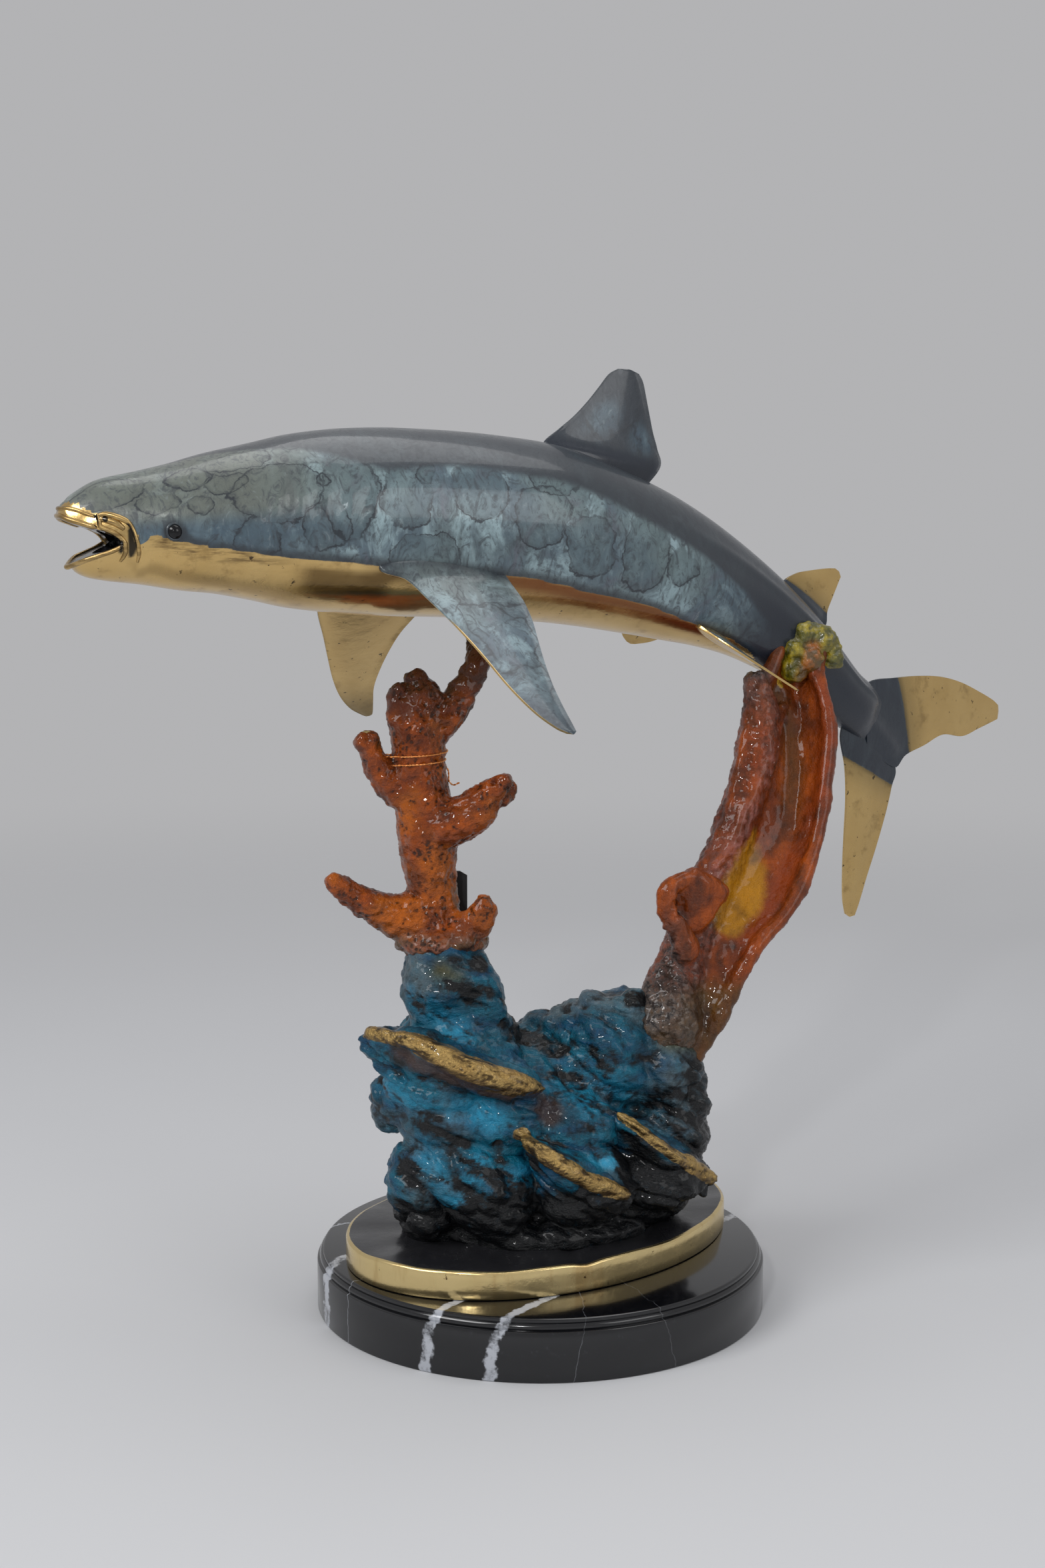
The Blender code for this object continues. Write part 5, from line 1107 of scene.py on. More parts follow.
def coral_finish():
    mat, tree, shader = finish_of("coral_orange_patina", 0.45, 0.06)
    here = spot(tree)
    soft = grain(tree, here, 55, 5, 0.6)
    fine = grain(tree, here, 260, 4, 0.65)
    colour = blend(tree, step(tree, soft, 0.35, 0.65), srgb(112, 46, 6), srgb(178, 82, 8))
    colour = blend(tree, step(tree, grain(tree, here, 22, 3), 0.50, 0.66, 0.0, 0.7), colour, srgb(200, 104, 10))
    # Pink, partly a painted highlight on the left-turned faces
    colour = over(tree, colour, "pink", step(tree, fine, 0.38, 0.54, 0.10, 0.85), srgb(164, 118, 100))
    colour = over(tree, colour, "olive", step(tree, fine, 0.3, 0.6, 0.4, 0.9), srgb(86, 62, 14))
    # Dark: the top knob's and random dark patina, and painted shade on faces that turn down
    colour = over(tree, colour, "dark", step(tree, soft, 0.25, 0.6, 0.55, 0.95), srgb(48, 24, 8))
    small = pebbles(tree, wander(tree, here, 160, 0.006), 330).outputs["Distance"]
    pits = plus(tree, painted(tree, "pit"), uneven(tree, fine, 0.7))
    pits = times(tree, step(tree, pits, 0.25, 0.80), step(tree, small, 0.20, 0.55, 1.0, 0.25))
    colour = blend(tree, times(tree, pits, 0.9), colour, srgb(44, 22, 10))
    worn = step(tree, plus(tree, painted(tree, "brass"), uneven(tree, fine, 0.6)), 0.45, 0.65)
    colour = blend(tree, worn, colour, srgb(206, 190, 140))
    fill(tree, shader.inputs["Base Color"], colour)
    fill(tree, shader.inputs["Metallic"], times(tree, worn, 0.85))
    shader.inputs["Specular IOR Level"].default_value = 0.22
    fill(tree, shader.inputs["Roughness"], step(tree, fine, 0.3, 0.7, 0.28, 0.5))
    height = plus(tree, grain(tree, here, 420, 4, 0.65), times(tree, grain(tree, here, 150, 3, 0.6), 0.9))
    height = minus(tree, height, times(tree, pits, 0.5))
    fill(tree, shader.inputs["Normal"], bumps(tree, height, 0.0030, 1.0))
    return mat


# Kelp
WELD_POINT = body_point(0.4830, 352)
KELP_TOP = WELD_POINT.z + 0.002
RIGHT_BAND = [(0.172, 0.076, 0.388, 0.007), (0.180, 0.069, 0.368, 0.008), (0.181, 0.059, 0.343, 0.008),
              (0.177, 0.051, 0.320, 0.008), (0.169, 0.046, 0.294, 0.008), (0.157, 0.035, 0.268, 0.008),
              (0.141, 0.020, 0.243, 0.008), (0.128, 0.005, 0.225, 0.007)]
VALLEY = [(0.151, 0.076, 0.376, 0.006), (0.160, 0.078, 0.354, 0.006), (0.162, 0.068, 0.326, 0.006),
          (0.158, 0.054, 0.293, 0.006), (0.142, 0.032, 0.258, 0.006), (0.131, 0.018, 0.239, 0.005)]
PINK_RIDGE = [(0.156, 0.074, 0.362, 0.005), (0.147, 0.052, 0.340, 0.006), (0.138, 0.040, 0.320, 0.006),
              (0.128, 0.031, 0.300, 0.006), (0.120, 0.024, 0.280, 0.006), (0.108, 0.017, 0.267, 0.005)]
PINK_FOOT = [(0.110, 0.022, 0.284, 0.012), (0.100, 0.010, 0.272, 0.010)]
YELLOW_POOL = [(0.139, 0.036, 0.288, 0.012), (0.133, 0.028, 0.272, 0.022), (0.127, 0.020, 0.256, 0.025),
               (0.118, 0.012, 0.242, 0.020)]
KELP_STEM = [(0.086, -0.017, 0.262, 0.007), (0.080, -0.010, 0.246, 0.010), (0.078, -0.004, 0.225, 0.014),
             (0.076, -0.012, 0.206, 0.017), (0.072, -0.018, 0.190, 0.018)]
CUP_MIDDLE = (0.0925, -0.010, 0.262)
CUP_FILL = (0.0930, -0.0040, 0.2620, 0.0125, 0.0080, 0.0150)


def up_kelp(rows):
    """Rows whose third item is the share of the way up the kelp, at their own height."""
    return [(x, y, KELP_FOOT + share * (KELP_TOP - KELP_FOOT), r) for x, y, share, r in rows]


def shape_kelp():
    rise = KELP_TOP - KELP_FOOT
    bm = bmesh.new()
    rings = []
    for i in range(61):
        share = i / 60
        xl, xf, xr, yl, yf, yr = cubic(KELP, share)
        z = KELP_FOOT + rise * share
        left = Vector((xl, yl, z + 0.003))
        fold = Vector((xf, yf, z))
        right = Vector((xr, yr, z + 0.003))
        front = [left, left.lerp(fold, 0.5) + Vector((0, 0.003, 0)), fold,
                 fold.lerp(right, 0.5) + Vector((0, 0.002, 0)), right]
        rings.append(front + [p + Vector((0.0, 0.0085, 0.0)) for p in reversed(front)])
    spread(bm, rings, pole=False)
    for side, inset in ((1, 0.003), (3, -0.003)):
        round_limb(bm, up_kelp([(row[side] + inset, row[side + 3] + 0.004, row[0], 0.0052) for row in KELP]))
    round_limb(bm, up_kelp(KELP_BACK))
    round_limb(bm, up_kelp(KELP_LIP))
    x, y, share, rx, ry, rz = KELP_BOWL
    boulder(bm, x, y, KELP_FOOT + share * rise, rx, ry, rz)
    round_limb(bm, up_kelp(KELP_RIDGE))
    round_limb(bm, [(x, y + 0.0075, z, 0.0088) for x, y, z, _ in VALLEY])
    boulder(bm, *CUP_FILL)
    kelp = one_skin("kelp", bm, 0.0014, 16)
    co = places(kelp)
    out = normals(kelp)
    front = ease(0.2, 0.7, -out[:, 1])
    along_grain = cloud(co * np.array([1.6, 1.6, 0.45]), 90, 4, 6.0)
    lump = cloud(co, 55, 3, 2.0)
    fine = cloud(co, 210, 3, 3.0)
    leaf_side = ease(0.130, 0.160, co[:, 0] - 0.35 * (co[:, 2] - 0.30))
    back = stroke(co, up_kelp(KELP_BACK), 1.25, 0.4) * (1 - leaf_side)
    bark = np.maximum(back, stroke(co, KELP_STEM, 1.25, 0.6))
    leaf = front * (1 - bark) * ease(0.22, 0.25, co[:, 2])
    lift = relief(co)[0] * (0.3 + 0.7 * ease(0.20, 0.24, co[:, 2])) + 0.0007 * lump + 0.0007 * along_grain
    lift *= 1 - 0.75 * leaf
    lift += bark * (0.0014 * fine + 0.0005 * along_grain) + 0.0004 * fine * (1 - 0.6 * leaf)
    lift += 0.0008 * front * (stroke(co, RIGHT_BAND) - 1.25 * stroke(co, VALLEY, 1.1) + stroke(co, PINK_RIDGE))
    reshape(kelp, co + out * lift[:, None])
    # the cup's hollow
    co = places(kelp)
    d = np.linalg.norm((co - np.array(CUP_MIDDLE)) / np.array([0.0120, 0.013, 0.0150]), axis=1)
    co = co + np.clip(1 - d * d, 0, 1)[:, None] ** 0.9 * np.array([0.0, 0.003, 0.0])
    reshape(kelp, co)
    out = normals(kelp)
    z = co[:, 2]
    grey = ease(0.345, 0.385, z) + ease(0.255, 0.235, z)
    paint(kelp, "bark", bark * (0.40 * ease(-0.3, 0.3, lump) + 0.75 * grey))
    paint(kelp, "red", back * ease(0.39, 0.35, z))
    paint(kelp, "band", stroke(co, RIGHT_BAND, 1.5, 0.7))
    pink = stroke(co, PINK_RIDGE, 1.7, 0.9) * ease(-0.3, 0.3, fine)
    paint(kelp, "pink", pink + 0.6 * stroke(co, PINK_FOOT, 1, 0.9))
    olive = 0.75 * stroke(co, VALLEY, 2.0, 1.0) * ease(0.27, 0.32, z)
    paint(kelp, "olive", olive + ease(0.212, 0.196, z) + 0.4 * ease(0.38, 0.41, z))
    paint(kelp, "yellow", stroke(co, YELLOW_POOL, 1, 1.0) * 1.7)
    paint(kelp, "tip", ease(0.405, 0.418, z + 0.004 * lump))
    dark = 0.5 * ease(1.0, 0.4, d) * ease(-0.004, 0.006, co[:, 0] - CUP_MIDDLE[0])
    dark += 0.55 * stroke(co, VALLEY, 1.5, 1.0) * ease(0.35, 0.41, z)
    dark += (0.45 - 0.3 * leaf) * ease(0.0, -0.5, along_grain)
    # Faces turned to the back are painted darker: painted shade; the rest is dark mottling
    dark += 0.3 * ease(0.2, 1.0, out[:, 1]) + 0.5 * ease(0.1, 0.6, cloud(co, 40, 3, 41.0))
    paint(kelp, "dark", dark)
    paint(kelp, "gold", stroke(co, [(0.152, 0.079, 0.383, 0.003), (0.159, 0.080, 0.370, 0.003)], 1, 0.6))
    return kelp


def kelp_finish():
    mat, tree, shader = finish_of("kelp_orange_patina", 0.42, 0.05)
    here = spot(tree)
    long = spot(tree, (1.6, 1.6, 0.45), (0, radians(-18), 0))
    soft = grain(tree, here, 38, 5, 0.6)
    fine = grain(tree, here, 240, 4, 0.65)
    streak = grain(tree, long, 110, 4, 0.6)
    colour = blend(tree, step(tree, soft, 0.35, 0.65), srgb(112, 46, 4), srgb(172, 78, 6))
    colour = blend(tree, step(tree, streak, 0.45, 0.70, 0.0, 0.6), colour, srgb(94, 42, 10))
    colour = over(tree, colour, "band", 0.75, srgb(142, 58, 16))
    red = blend(tree, step(tree, fine, 0.40, 0.62), srgb(132, 48, 14), srgb(44, 18, 10))
    colour = over(tree, colour, "red", 0.85, red)
    colour = over(tree, colour, "olive", step(tree, soft, 0.3, 0.6, 0.5, 0.9), srgb(78, 58, 14))
    yellow = plus(tree, painted(tree, "yellow"), uneven(tree, grain(tree, here, 80, 5, 0.7), 1.0))
    colour = blend(tree, step(tree, yellow, 0.20, 0.95, 0.0, 0.97), colour, srgb(190, 130, 6))
    colour = over(tree, colour, "pink", step(tree, fine, 0.35, 0.6, 0.2, 0.85), srgb(178, 112, 100))
    bark = times(tree, painted(tree, "bark"), step(tree, fine, 0.3, 0.62, 0.35, 1.0))
    grey = blend(tree, step(tree, fine, 0.45, 0.62), srgb(96, 92, 90), srgb(34, 28, 28))
    colour = blend(tree, bark, colour, grey)
    # Dark: mottling, the cup's inside and the valley's top, and painted shade on faces turned to the back
    colour = over(tree, colour, "dark", step(tree, fine, 0.25, 0.6, 0.6, 1.0), srgb(42, 22, 10))
    green = blend(tree, step(tree, soft, 0.40, 0.62), srgb(150, 138, 14), srgb(64, 66, 12))
    colour = over(tree, colour, "tip", step(tree, fine, 0.3, 0.6, 0.5, 1.0), green)
    worn = step(tree, painted(tree, "gold"), 0.35, 0.6)
    colour = blend(tree, worn, colour, srgb(206, 164, 60))
    fill(tree, shader.inputs["Base Color"], colour)
    fill(tree, shader.inputs["Metallic"], times(tree, worn, 0.8))
    shader.inputs["Specular IOR Level"].default_value = 0.22
    fill(tree, shader.inputs["Roughness"], step(tree, fine, 0.3, 0.7, 0.26, 0.48))
    height = plus(tree, grain(tree, here, 300, 4, 0.65), times(tree, streak, 0.8))
    fill(tree, shader.inputs["Normal"], bumps(tree, height, 0.0024, 0.95))
    return mat


def shape_weld():
    bm = bmesh.new()
    w = WELD_POINT
    for x, z, r in WELD:
        boulder(bm, w.x + x, w.y - 0.003 + 0.3 * x, w.z + z, r, r, r, 3)
    round_limb(bm, [(w.x + x, w.y + y, w.z + z, r) for x, y, z, r in WELD_BEAD])
    weld = one_skin("weld", bm, 0.0010, 3)
    co = places(weld)
    out = normals(weld)
    knob = cloud(co, 170, 2, 4.0)
    bead = cells(co * 230)
    lift = 0.0016 * knob + 0.0008 * (0.45 - bead[:, 0])
    reshape(weld, co + out * lift[:, None])
    middle = [(w.x, w.y - 0.012, w.z - 0.016, 0.013), (w.x + 0.002, w.y - 0.010, w.z + 0.002, 0.009)]
    paint(weld, "middle", stroke(co, middle, 1, 0.7))
    dark = 0.4 * ease(0.40, 0.62, bead[:, 0]) + ease(0.0, -0.45, knob)
    # Faces that turn to the right and down are painted darker: painted shade
    paint(weld, "dark", dark + 0.5 * ease(0.1, 0.9, out[:, 0] - out[:, 2]))
    return weld


def weld_finish():
    mat, tree, shader = finish_of("weld_yellow_green", 0.55, 0.07)
    here = spot(tree)
    soft = grain(tree, here, 120, 4, 0.6)
    colour = blend(tree, step(tree, soft, 0.35, 0.65), srgb(88, 88, 10), srgb(170, 150, 18))
    colour = over(tree, colour, "middle", 0.9, srgb(160, 84, 18))
    # Dark: between the beads and in the lows, and painted shade on faces turned right and down
    colour = over(tree, colour, "dark", 0.75, srgb(44, 50, 12))
    fill(tree, shader.inputs["Base Color"], colour)
    shader.inputs["Roughness"].default_value = 0.35
    fill(tree, shader.inputs["Normal"], bumps(tree, grain(tree, here, 500, 3, 0.6), 0.0014, 0.8))
    return mat


# Shark
# Lips and cheek folds: distance from the snout, height, radius
UPPER_LIP = [(0.0005, 0.0078, 0.0015), (0.0035, 0.0060, 0.0016), (0.0095, 0.0040, 0.0016),
             (0.0150, 0.0022, 0.0015), (0.0165, 0.0018, 0.0010)]
LIP_FOLD = [(0.0008, 0.0118, 0.0013), (0.0040, 0.0120, 0.0014), (0.0085, 0.0108, 0.0014), (0.0130, 0.0088, 0.0013),
            (0.0165, 0.0076, 0.0010)]
LOWER_LIP = [(0.0045, -0.0206, 0.0015), (0.0120, -0.0162, 0.0015), (0.0195, -0.0134, 0.0014),
             (0.0255, -0.0112, 0.0014), (0.0305, -0.0086, 0.0012)]
MOUTH_FOLD = [(0.0180, 0.0085, 0.0012), (0.0185, 0.0050, 0.0014), (0.0190, 0.0022, 0.0014),
              (0.0225, 0.0004, 0.0014), (0.0265, -0.0016, 0.0014), (0.0300, -0.0045, 0.0014),
              (0.0318, -0.0075, 0.0014), (0.0322, -0.0115, 0.0013), (0.0312, -0.0145, 0.0012),
              (0.0298, -0.0170, 0.0008)]
CHEEK_FOLD = [(0.0180, 0.0085, 0.0010), (0.0220, 0.0090, 0.0016), (0.0275, 0.0075, 0.0018),
              (0.0325, 0.0052, 0.0016), (0.0352, 0.0020, 0.0013), (0.0372, -0.0035, 0.0013),
              (0.0385, -0.0080, 0.0013), (0.0392, -0.0130, 0.0012), (0.0388, -0.0175, 0.0008)]
CHEEK_PAD = [(0.0185, 0.0068, 0.0022), (0.0230, 0.0058, 0.0024), (0.0275, 0.0040, 0.0024),
             (0.0310, 0.0012, 0.0018)]


def lip_path(edge, side_out=0.0):
    """Path round the snout or jaw through a row of (distance, height) on both cheeks."""
    left = [tuple(head_point(s, 1, z, side_out)) for s, z, r in edge]
    right = [tuple(head_point(s, -1, z, side_out)) for s, z, r in edge]
    radii = [r for s, z, r in edge]
    return [(*p, r) for p, r in zip(right[::-1], radii[::-1])] + [(*p, r) for p, r in zip(left, radii)]


def cheek_fold(bm, rows, out=0.0):
    for side in (1, -1):
        round_limb(bm, [(*head_point(s, side, z, out), r) for s, z, r in rows], 14)


def shape_body():
    bm = bmesh.new()
    sides = 120
    marks = [0.0, 0.0006, 0.0013, 0.0022, 0.0034, 0.0048, 0.0065, 0.0085]
    marks += [marks[7] + (BODY_END - marks[7]) * (k / 210) for k in range(1, 211)]
    rings = [[body_point(s, 360 * k / sides) for k in range(sides)] for s in marks]
    spread(bm, rings)
    bmesh.ops.recalc_face_normals(bm, faces=bm.faces)
    body = keep("shark_body", bm)
    co = places(body)
    out = normals(body)
    s, angle = on_body(co)
    a = side_angle(angle)
    # shoulder ridge of the tail stock, gill folds and a slight hollow behind the corner of the mouth
    ridge = 0.0012 * np.exp(-((a - 31) / 6.0) ** 2) * ease(0.33, 0.42, s) * ease(BODY_END, 0.54, s)
    gills = np.zeros(len(co))
    for k in range(5):
        lean = 0.0045 - 0.0002 * np.clip(24 - a, 0, 46)
        d = s - (0.107 + 0.0145 * k) - lean
        run = ease(24, 14, a) * ease(-26, -14, a)
        gills += run * (-0.0011 * np.exp(-(d / 0.0011) ** 2) + 0.0008 * np.exp(-((d - 0.0040) / 0.0032) ** 2))
    browse = 0.0008 * np.exp(-((a - 12) / 7.0) ** 2) * ease(0.045, 0.060, s) * ease(0.105, 0.080, s)
    reshape(body, co + out * (ridge + gills + browse)[:, None])
    skin = bpy.data.materials.new("skin_place")
    inner = bpy.data.materials.new("mouth_place")
    body.data.materials.append(skin)
    tool = bmesh.new()
    outline = MOUTH_ROOF + [MOUTH_CORNER] + MOUTH_FLOOR
    left = body_frame(0.02)[1]
    rings = []
    for side in (-1, 1):
        rings.append([Vector((*plan_point(m), Z_AXIS + z)) + left * side * 0.045 for m, z in outline])
    spread(tool, rings, pole=False)
    bmesh.ops.recalc_face_normals(tool, faces=tool.faces)
    wedge = keep("wedge", tool)
    wedge.data.shade_flat()
    wedge.data.materials.append(inner)
    carve(body, wedge)
    tool = bmesh.new()
    boulder(tool, 0, 0, 0, 0.017, 0.0125, 0.0085)
    bmesh.ops.rotate(tool, cent=(0, 0, 0), matrix=Matrix.Rotation(heading(0.03), 3, "Z"), verts=tool.verts)
    bmesh.ops.translate(tool, vec=(*plan_point(0.031), Z_AXIS - 0.0075), verts=tool.verts)
    throat = keep("throat", tool)
    throat.data.materials.append(inner)
    carve(body, throat)
    body.data.set_sharp_from_angle(angle=radians(40))
    return body


def shape_lips():
    bm = bmesh.new()
    round_limb(bm, lip_path(UPPER_LIP), 14, 70)
    round_limb(bm, lip_path(LIP_FOLD, -0.0003), 14, 70)
    round_limb(bm, lip_path(LOWER_LIP), 14, 80)
    cheek_fold(bm, MOUTH_FOLD)
    cheek_fold(bm, CHEEK_FOLD)
    cheek_fold(bm, CHEEK_PAD, -0.0012)
    bmesh.ops.recalc_face_normals(bm, faces=bm.faces)
    return keep("shark_lips", bm)


def fin_axes(heading_deg, pitch_deg, splay_deg):
    a = radians(heading_deg)
    p = radians(pitch_deg)
    aft = Vector((cos(a) * cos(p), sin(a) * cos(p), -sin(p)))
    left = Vector((sin(a), -cos(a), 0.0))
    up = left.cross(aft)
    span = up * cos(radians(splay_deg)) + left * sin(radians(splay_deg))
    return aft, span, aft.cross(span)


FIN_HALF = 22
FIN_RINGS = 56


def half_blade(t, out, full):
    """Half the blade's thickness at a share of its width, flared near the body."""
    thick = full * (t ** 0.6) * ((1 - t) ** 0.9) * 1.75
    flare = 1 + 1.3 * exp(-(max(out + 0.001, 0.0) / 0.0052) ** 1.3)
    return max(thick, 0.0013) * flare / 2


def shape_fin(name, origin, axes, thickness):
    """Blade between its two outlines, flared at the root."""
    lead, trail = FINS[name]
    lead = [(i, *p) for i, p in enumerate(lead)]
    trail = [(i, *p) for i, p in enumerate(trail)]
    aft, span, normal = axes
    far = max(lead[-1][1], trail[-1][1])
    shares = [0.5 - 0.5 * cos(pi * k / FIN_HALF) for k in range(FIN_HALF + 1)]
    rings = []
    outs = []
    last = len(lead) - 1
    for i in range(FIN_RINGS + 1):
        u = last * (1 - (1 - i / FIN_RINGS) ** 1.25)
        lo, la = cubic(lead, u)
        to, ta = cubic(trail, u)
        a = origin + span * lo + aft * la
        b = origin + span * to + aft * ta
        rise = max(0.0, 0.5 * (lo + to) / far)
        full = thickness * (1 - 0.72 * rise)
        inner = [(a.lerp(b, t), normal * half_blade(t, lo + (to - lo) * t, full)) for t in shares[1:-1]]
        rings.append([a] + [p + half for p, half in inner] + [b] + [p - half for p, half in reversed(inner)])
        outs.append((lo, to))
    tip_a, tip_b = rings[-1][0], rings[-1][FIN_HALF]
    tip = tip_a.lerp(tip_b, 0.5) + span * 0.0015 + aft * 0.0010
    for grow in (0.35, 0.7, 0.92):
        rings.append([p.lerp(tip, grow) for p in rings[FIN_RINGS]])
        outs.append(outs[FIN_RINGS])
    bm = bmesh.new()
    spread(bm, rings)
    bmesh.ops.recalc_face_normals(bm, faces=bm.faces)
    fin = keep(name, bm)
    fin.data.set_sharp_from_angle(angle=radians(60))
    co = places(fin)
    tag = np.zeros(len(co), np.int32)
    fin.data.attributes["place"].data.foreach_get("value", tag)
    count = 2 * FIN_HALF
    ring_of = tag // count
    k = tag % count
    share = np.array(shares)[np.where(k <= FIN_HALF, k, count - k)]
    side = np.where((k > 0) & (k < FIN_HALF), 1.0, np.where(k > FIN_HALF, -1.0, 0.0))
    table = np.array(outs)[np.clip(ring_of, 0, len(outs) - 1)]
    out = table[:, 0] + (table[:, 1] - table[:, 0]) * share
    return fin, co, out, share, side, far


PATINA_PARTS = ("run", "turn", "brown_and_reflection", "smudge", "dark", "deep", "olive", "slate", "shade", "rub", "groove")
# Dark grooves of the cheek and the nostril: distance from the snout, height, radius
GROOVES = [[(0.0330, 0.0026, 0.0011), (0.0346, -0.0020, 0.0015), (0.0358, -0.0080, 0.0016),
            (0.0360, -0.0150, 0.0012)],
           [(0.0300, -0.0060, 0.0006), (0.0296, -0.0110, 0.0008), (0.0278, -0.0165, 0.0007)],
           [(0.0165, 0.0086, 0.0008), (0.0170, 0.0050, 0.0010), (0.0166, 0.0028, 0.0008)],
           [(0.0212, 0.0066, 0.0012), (0.0216, 0.0062, 0.0012)]]


def colour_fin(fin, gold, **shares):
    """Paint a fin's gold and whichever other shares it has."""
    paint(fin, "gold", gold)
    for name in PATINA_PARTS:
        paint(fin, name, shares.get(name, np.zeros(len(gold))))


def colour_body(obj, all_gold=False):
    co = places(obj)
    s, angle = on_body(co)
    a = side_angle(angle)
    under = np.interp(s, [p[0] for p in PATINA_EDGE], [p[1] for p in PATINA_EDGE]) - a
    paint(obj, "gold", np.ones(len(co)) if all_gold else ease(-1.6, 1.6, under))
    paint(obj, "run", s / 0.56)
    paint(obj, "turn", (a + 90) / 180)
    # Brown on the gold just below the patina's edge and under the head: partly the patina's brown band, partly a
    # painted reflection of darker surroundings in the gold
    brown_and_reflection = ease(-3, 0, under) * ease(17, 5, under) * ease(0.16, 0.19, s) * ease(0.44, 0.40, s)
    brown_and_reflection += 0.4 * ease(24, 34, under) * ease(50, 40, under) * ease(0.02, 0.05, s) * ease(0.16, 0.12, s)
    brown_and_reflection += 0.9 * ease(3, 8, under) * ease(34, 22, under) * ease(0.122, 0.138, s) * ease(0.190, 0.175, s)
    paint(obj, "brown_and_reflection", brown_and_reflection)
    paint(obj, "smudge", ease(0, 2, under) * ease(16, 6, under) * ease(0.040, 0.048, s) * ease(0.135, 0.09, s))
    back = a - np.interp(s, [p[0] for p in BACK_EDGE], [p[1] for p in BACK_EDGE])
    paint(obj, "dark", ease(-9, 7, back))
    paint(obj, "deep", ease(0.405, 0.460, s) * (0.35 + 0.65 * ease(24, 6, a)))
    paint(obj, "olive", ease(0.175, 0.09, s) * ease(-2, 14, a))
    paint(obj, "slate", ease(0.165, 0.11, s) * ease(16, 0, a) + 0.7 * ease(0.36, 0.42, s))
    eye = np.array(body_point(EYE_DISTANCE, EYE_ANGLES[0]))
    round_eye = ease(0.011, 0.004, np.linalg.norm(co - eye, axis=1))
    paint(obj, "shade", ease(-13, 0, under) * ease(0.045, 0.065, s) + 0.9 * round_eye)
    paint(obj, "rub", np.zeros(len(co)))
    dark = np.zeros(len(co))
    for rows in GROOVES:
        for cheek in (1, -1):
            path = [(*head_point(s, cheek, z, 0.0008), r) for s, z, r in rows]
            dark = np.maximum(dark, stroke(co, path, 1.625, 0.5))
    paint(obj, "groove", dark)


def drips(tree, here):
    """Outlines and insides of the run-down patches, in the body's own length and angle."""
    wobble = tree.nodes.new("ShaderNodeTexNoise")
    tree.links.new(here, wobble.inputs["Vector"])
    wobble.inputs["Scale"].default_value = 75
    wobble.inputs["Detail"].default_value = 4.0
    wobble.inputs["Roughness"].default_value = 0.6
    shift = vector(tree, "MULTIPLY_ADD", wobble.outputs["Color"], (15.0, 15.0, 0.0), (-7.5, -7.5, 0.0))
    place = tree.nodes.new("ShaderNodeCombineXYZ")
    tree.links.new(times(tree, painted(tree, "run"), 560.0), place.inputs[0])
    up = calc(tree, "MULTIPLY_ADD", painted(tree, "turn"), 180.0, -90.0)
    tree.links.new(up, place.inputs[1])
    moved = vector(tree, "ADD", place.outputs[0], shift.outputs[0])
    line = None
    inside = None
    for s, angle, half, tall, upper in DRIPS:
        local = vector(tree, "MULTIPLY_ADD", moved.outputs[0], (1 / half, 1 / tall, 0.0),
                       (-1000 * s / half, -angle / tall, 0.0))
        d = vector(tree, "LENGTH", local.outputs[0]).outputs["Value"]
        away = calc(tree, "ABSOLUTE", minus(tree, d, 1.0))
        ring = step(tree, away, 0.25 / half, 1.15 / half, 1.0, 0.0)
        stain = times(tree, step(tree, away, 0.0, 4.5 / half, 0.45, 0.0), step(tree, d, 1.0, 1.02, 1.0, 0.4))
        ring = calc(tree, "MAXIMUM", ring, stain)
        ring = times(tree, ring, step(tree, up, angle + 0.1 * tall, angle + 0.9 * tall, 1.0, upper))
        fillin = step(tree, d, 0.90, 1.0, 1.0, 0.0)
        line = ring if line is None else calc(tree, "MAXIMUM", line, ring)
        inside = fillin if inside is None else calc(tree, "MAXIMUM", inside, fillin)
    return line, inside


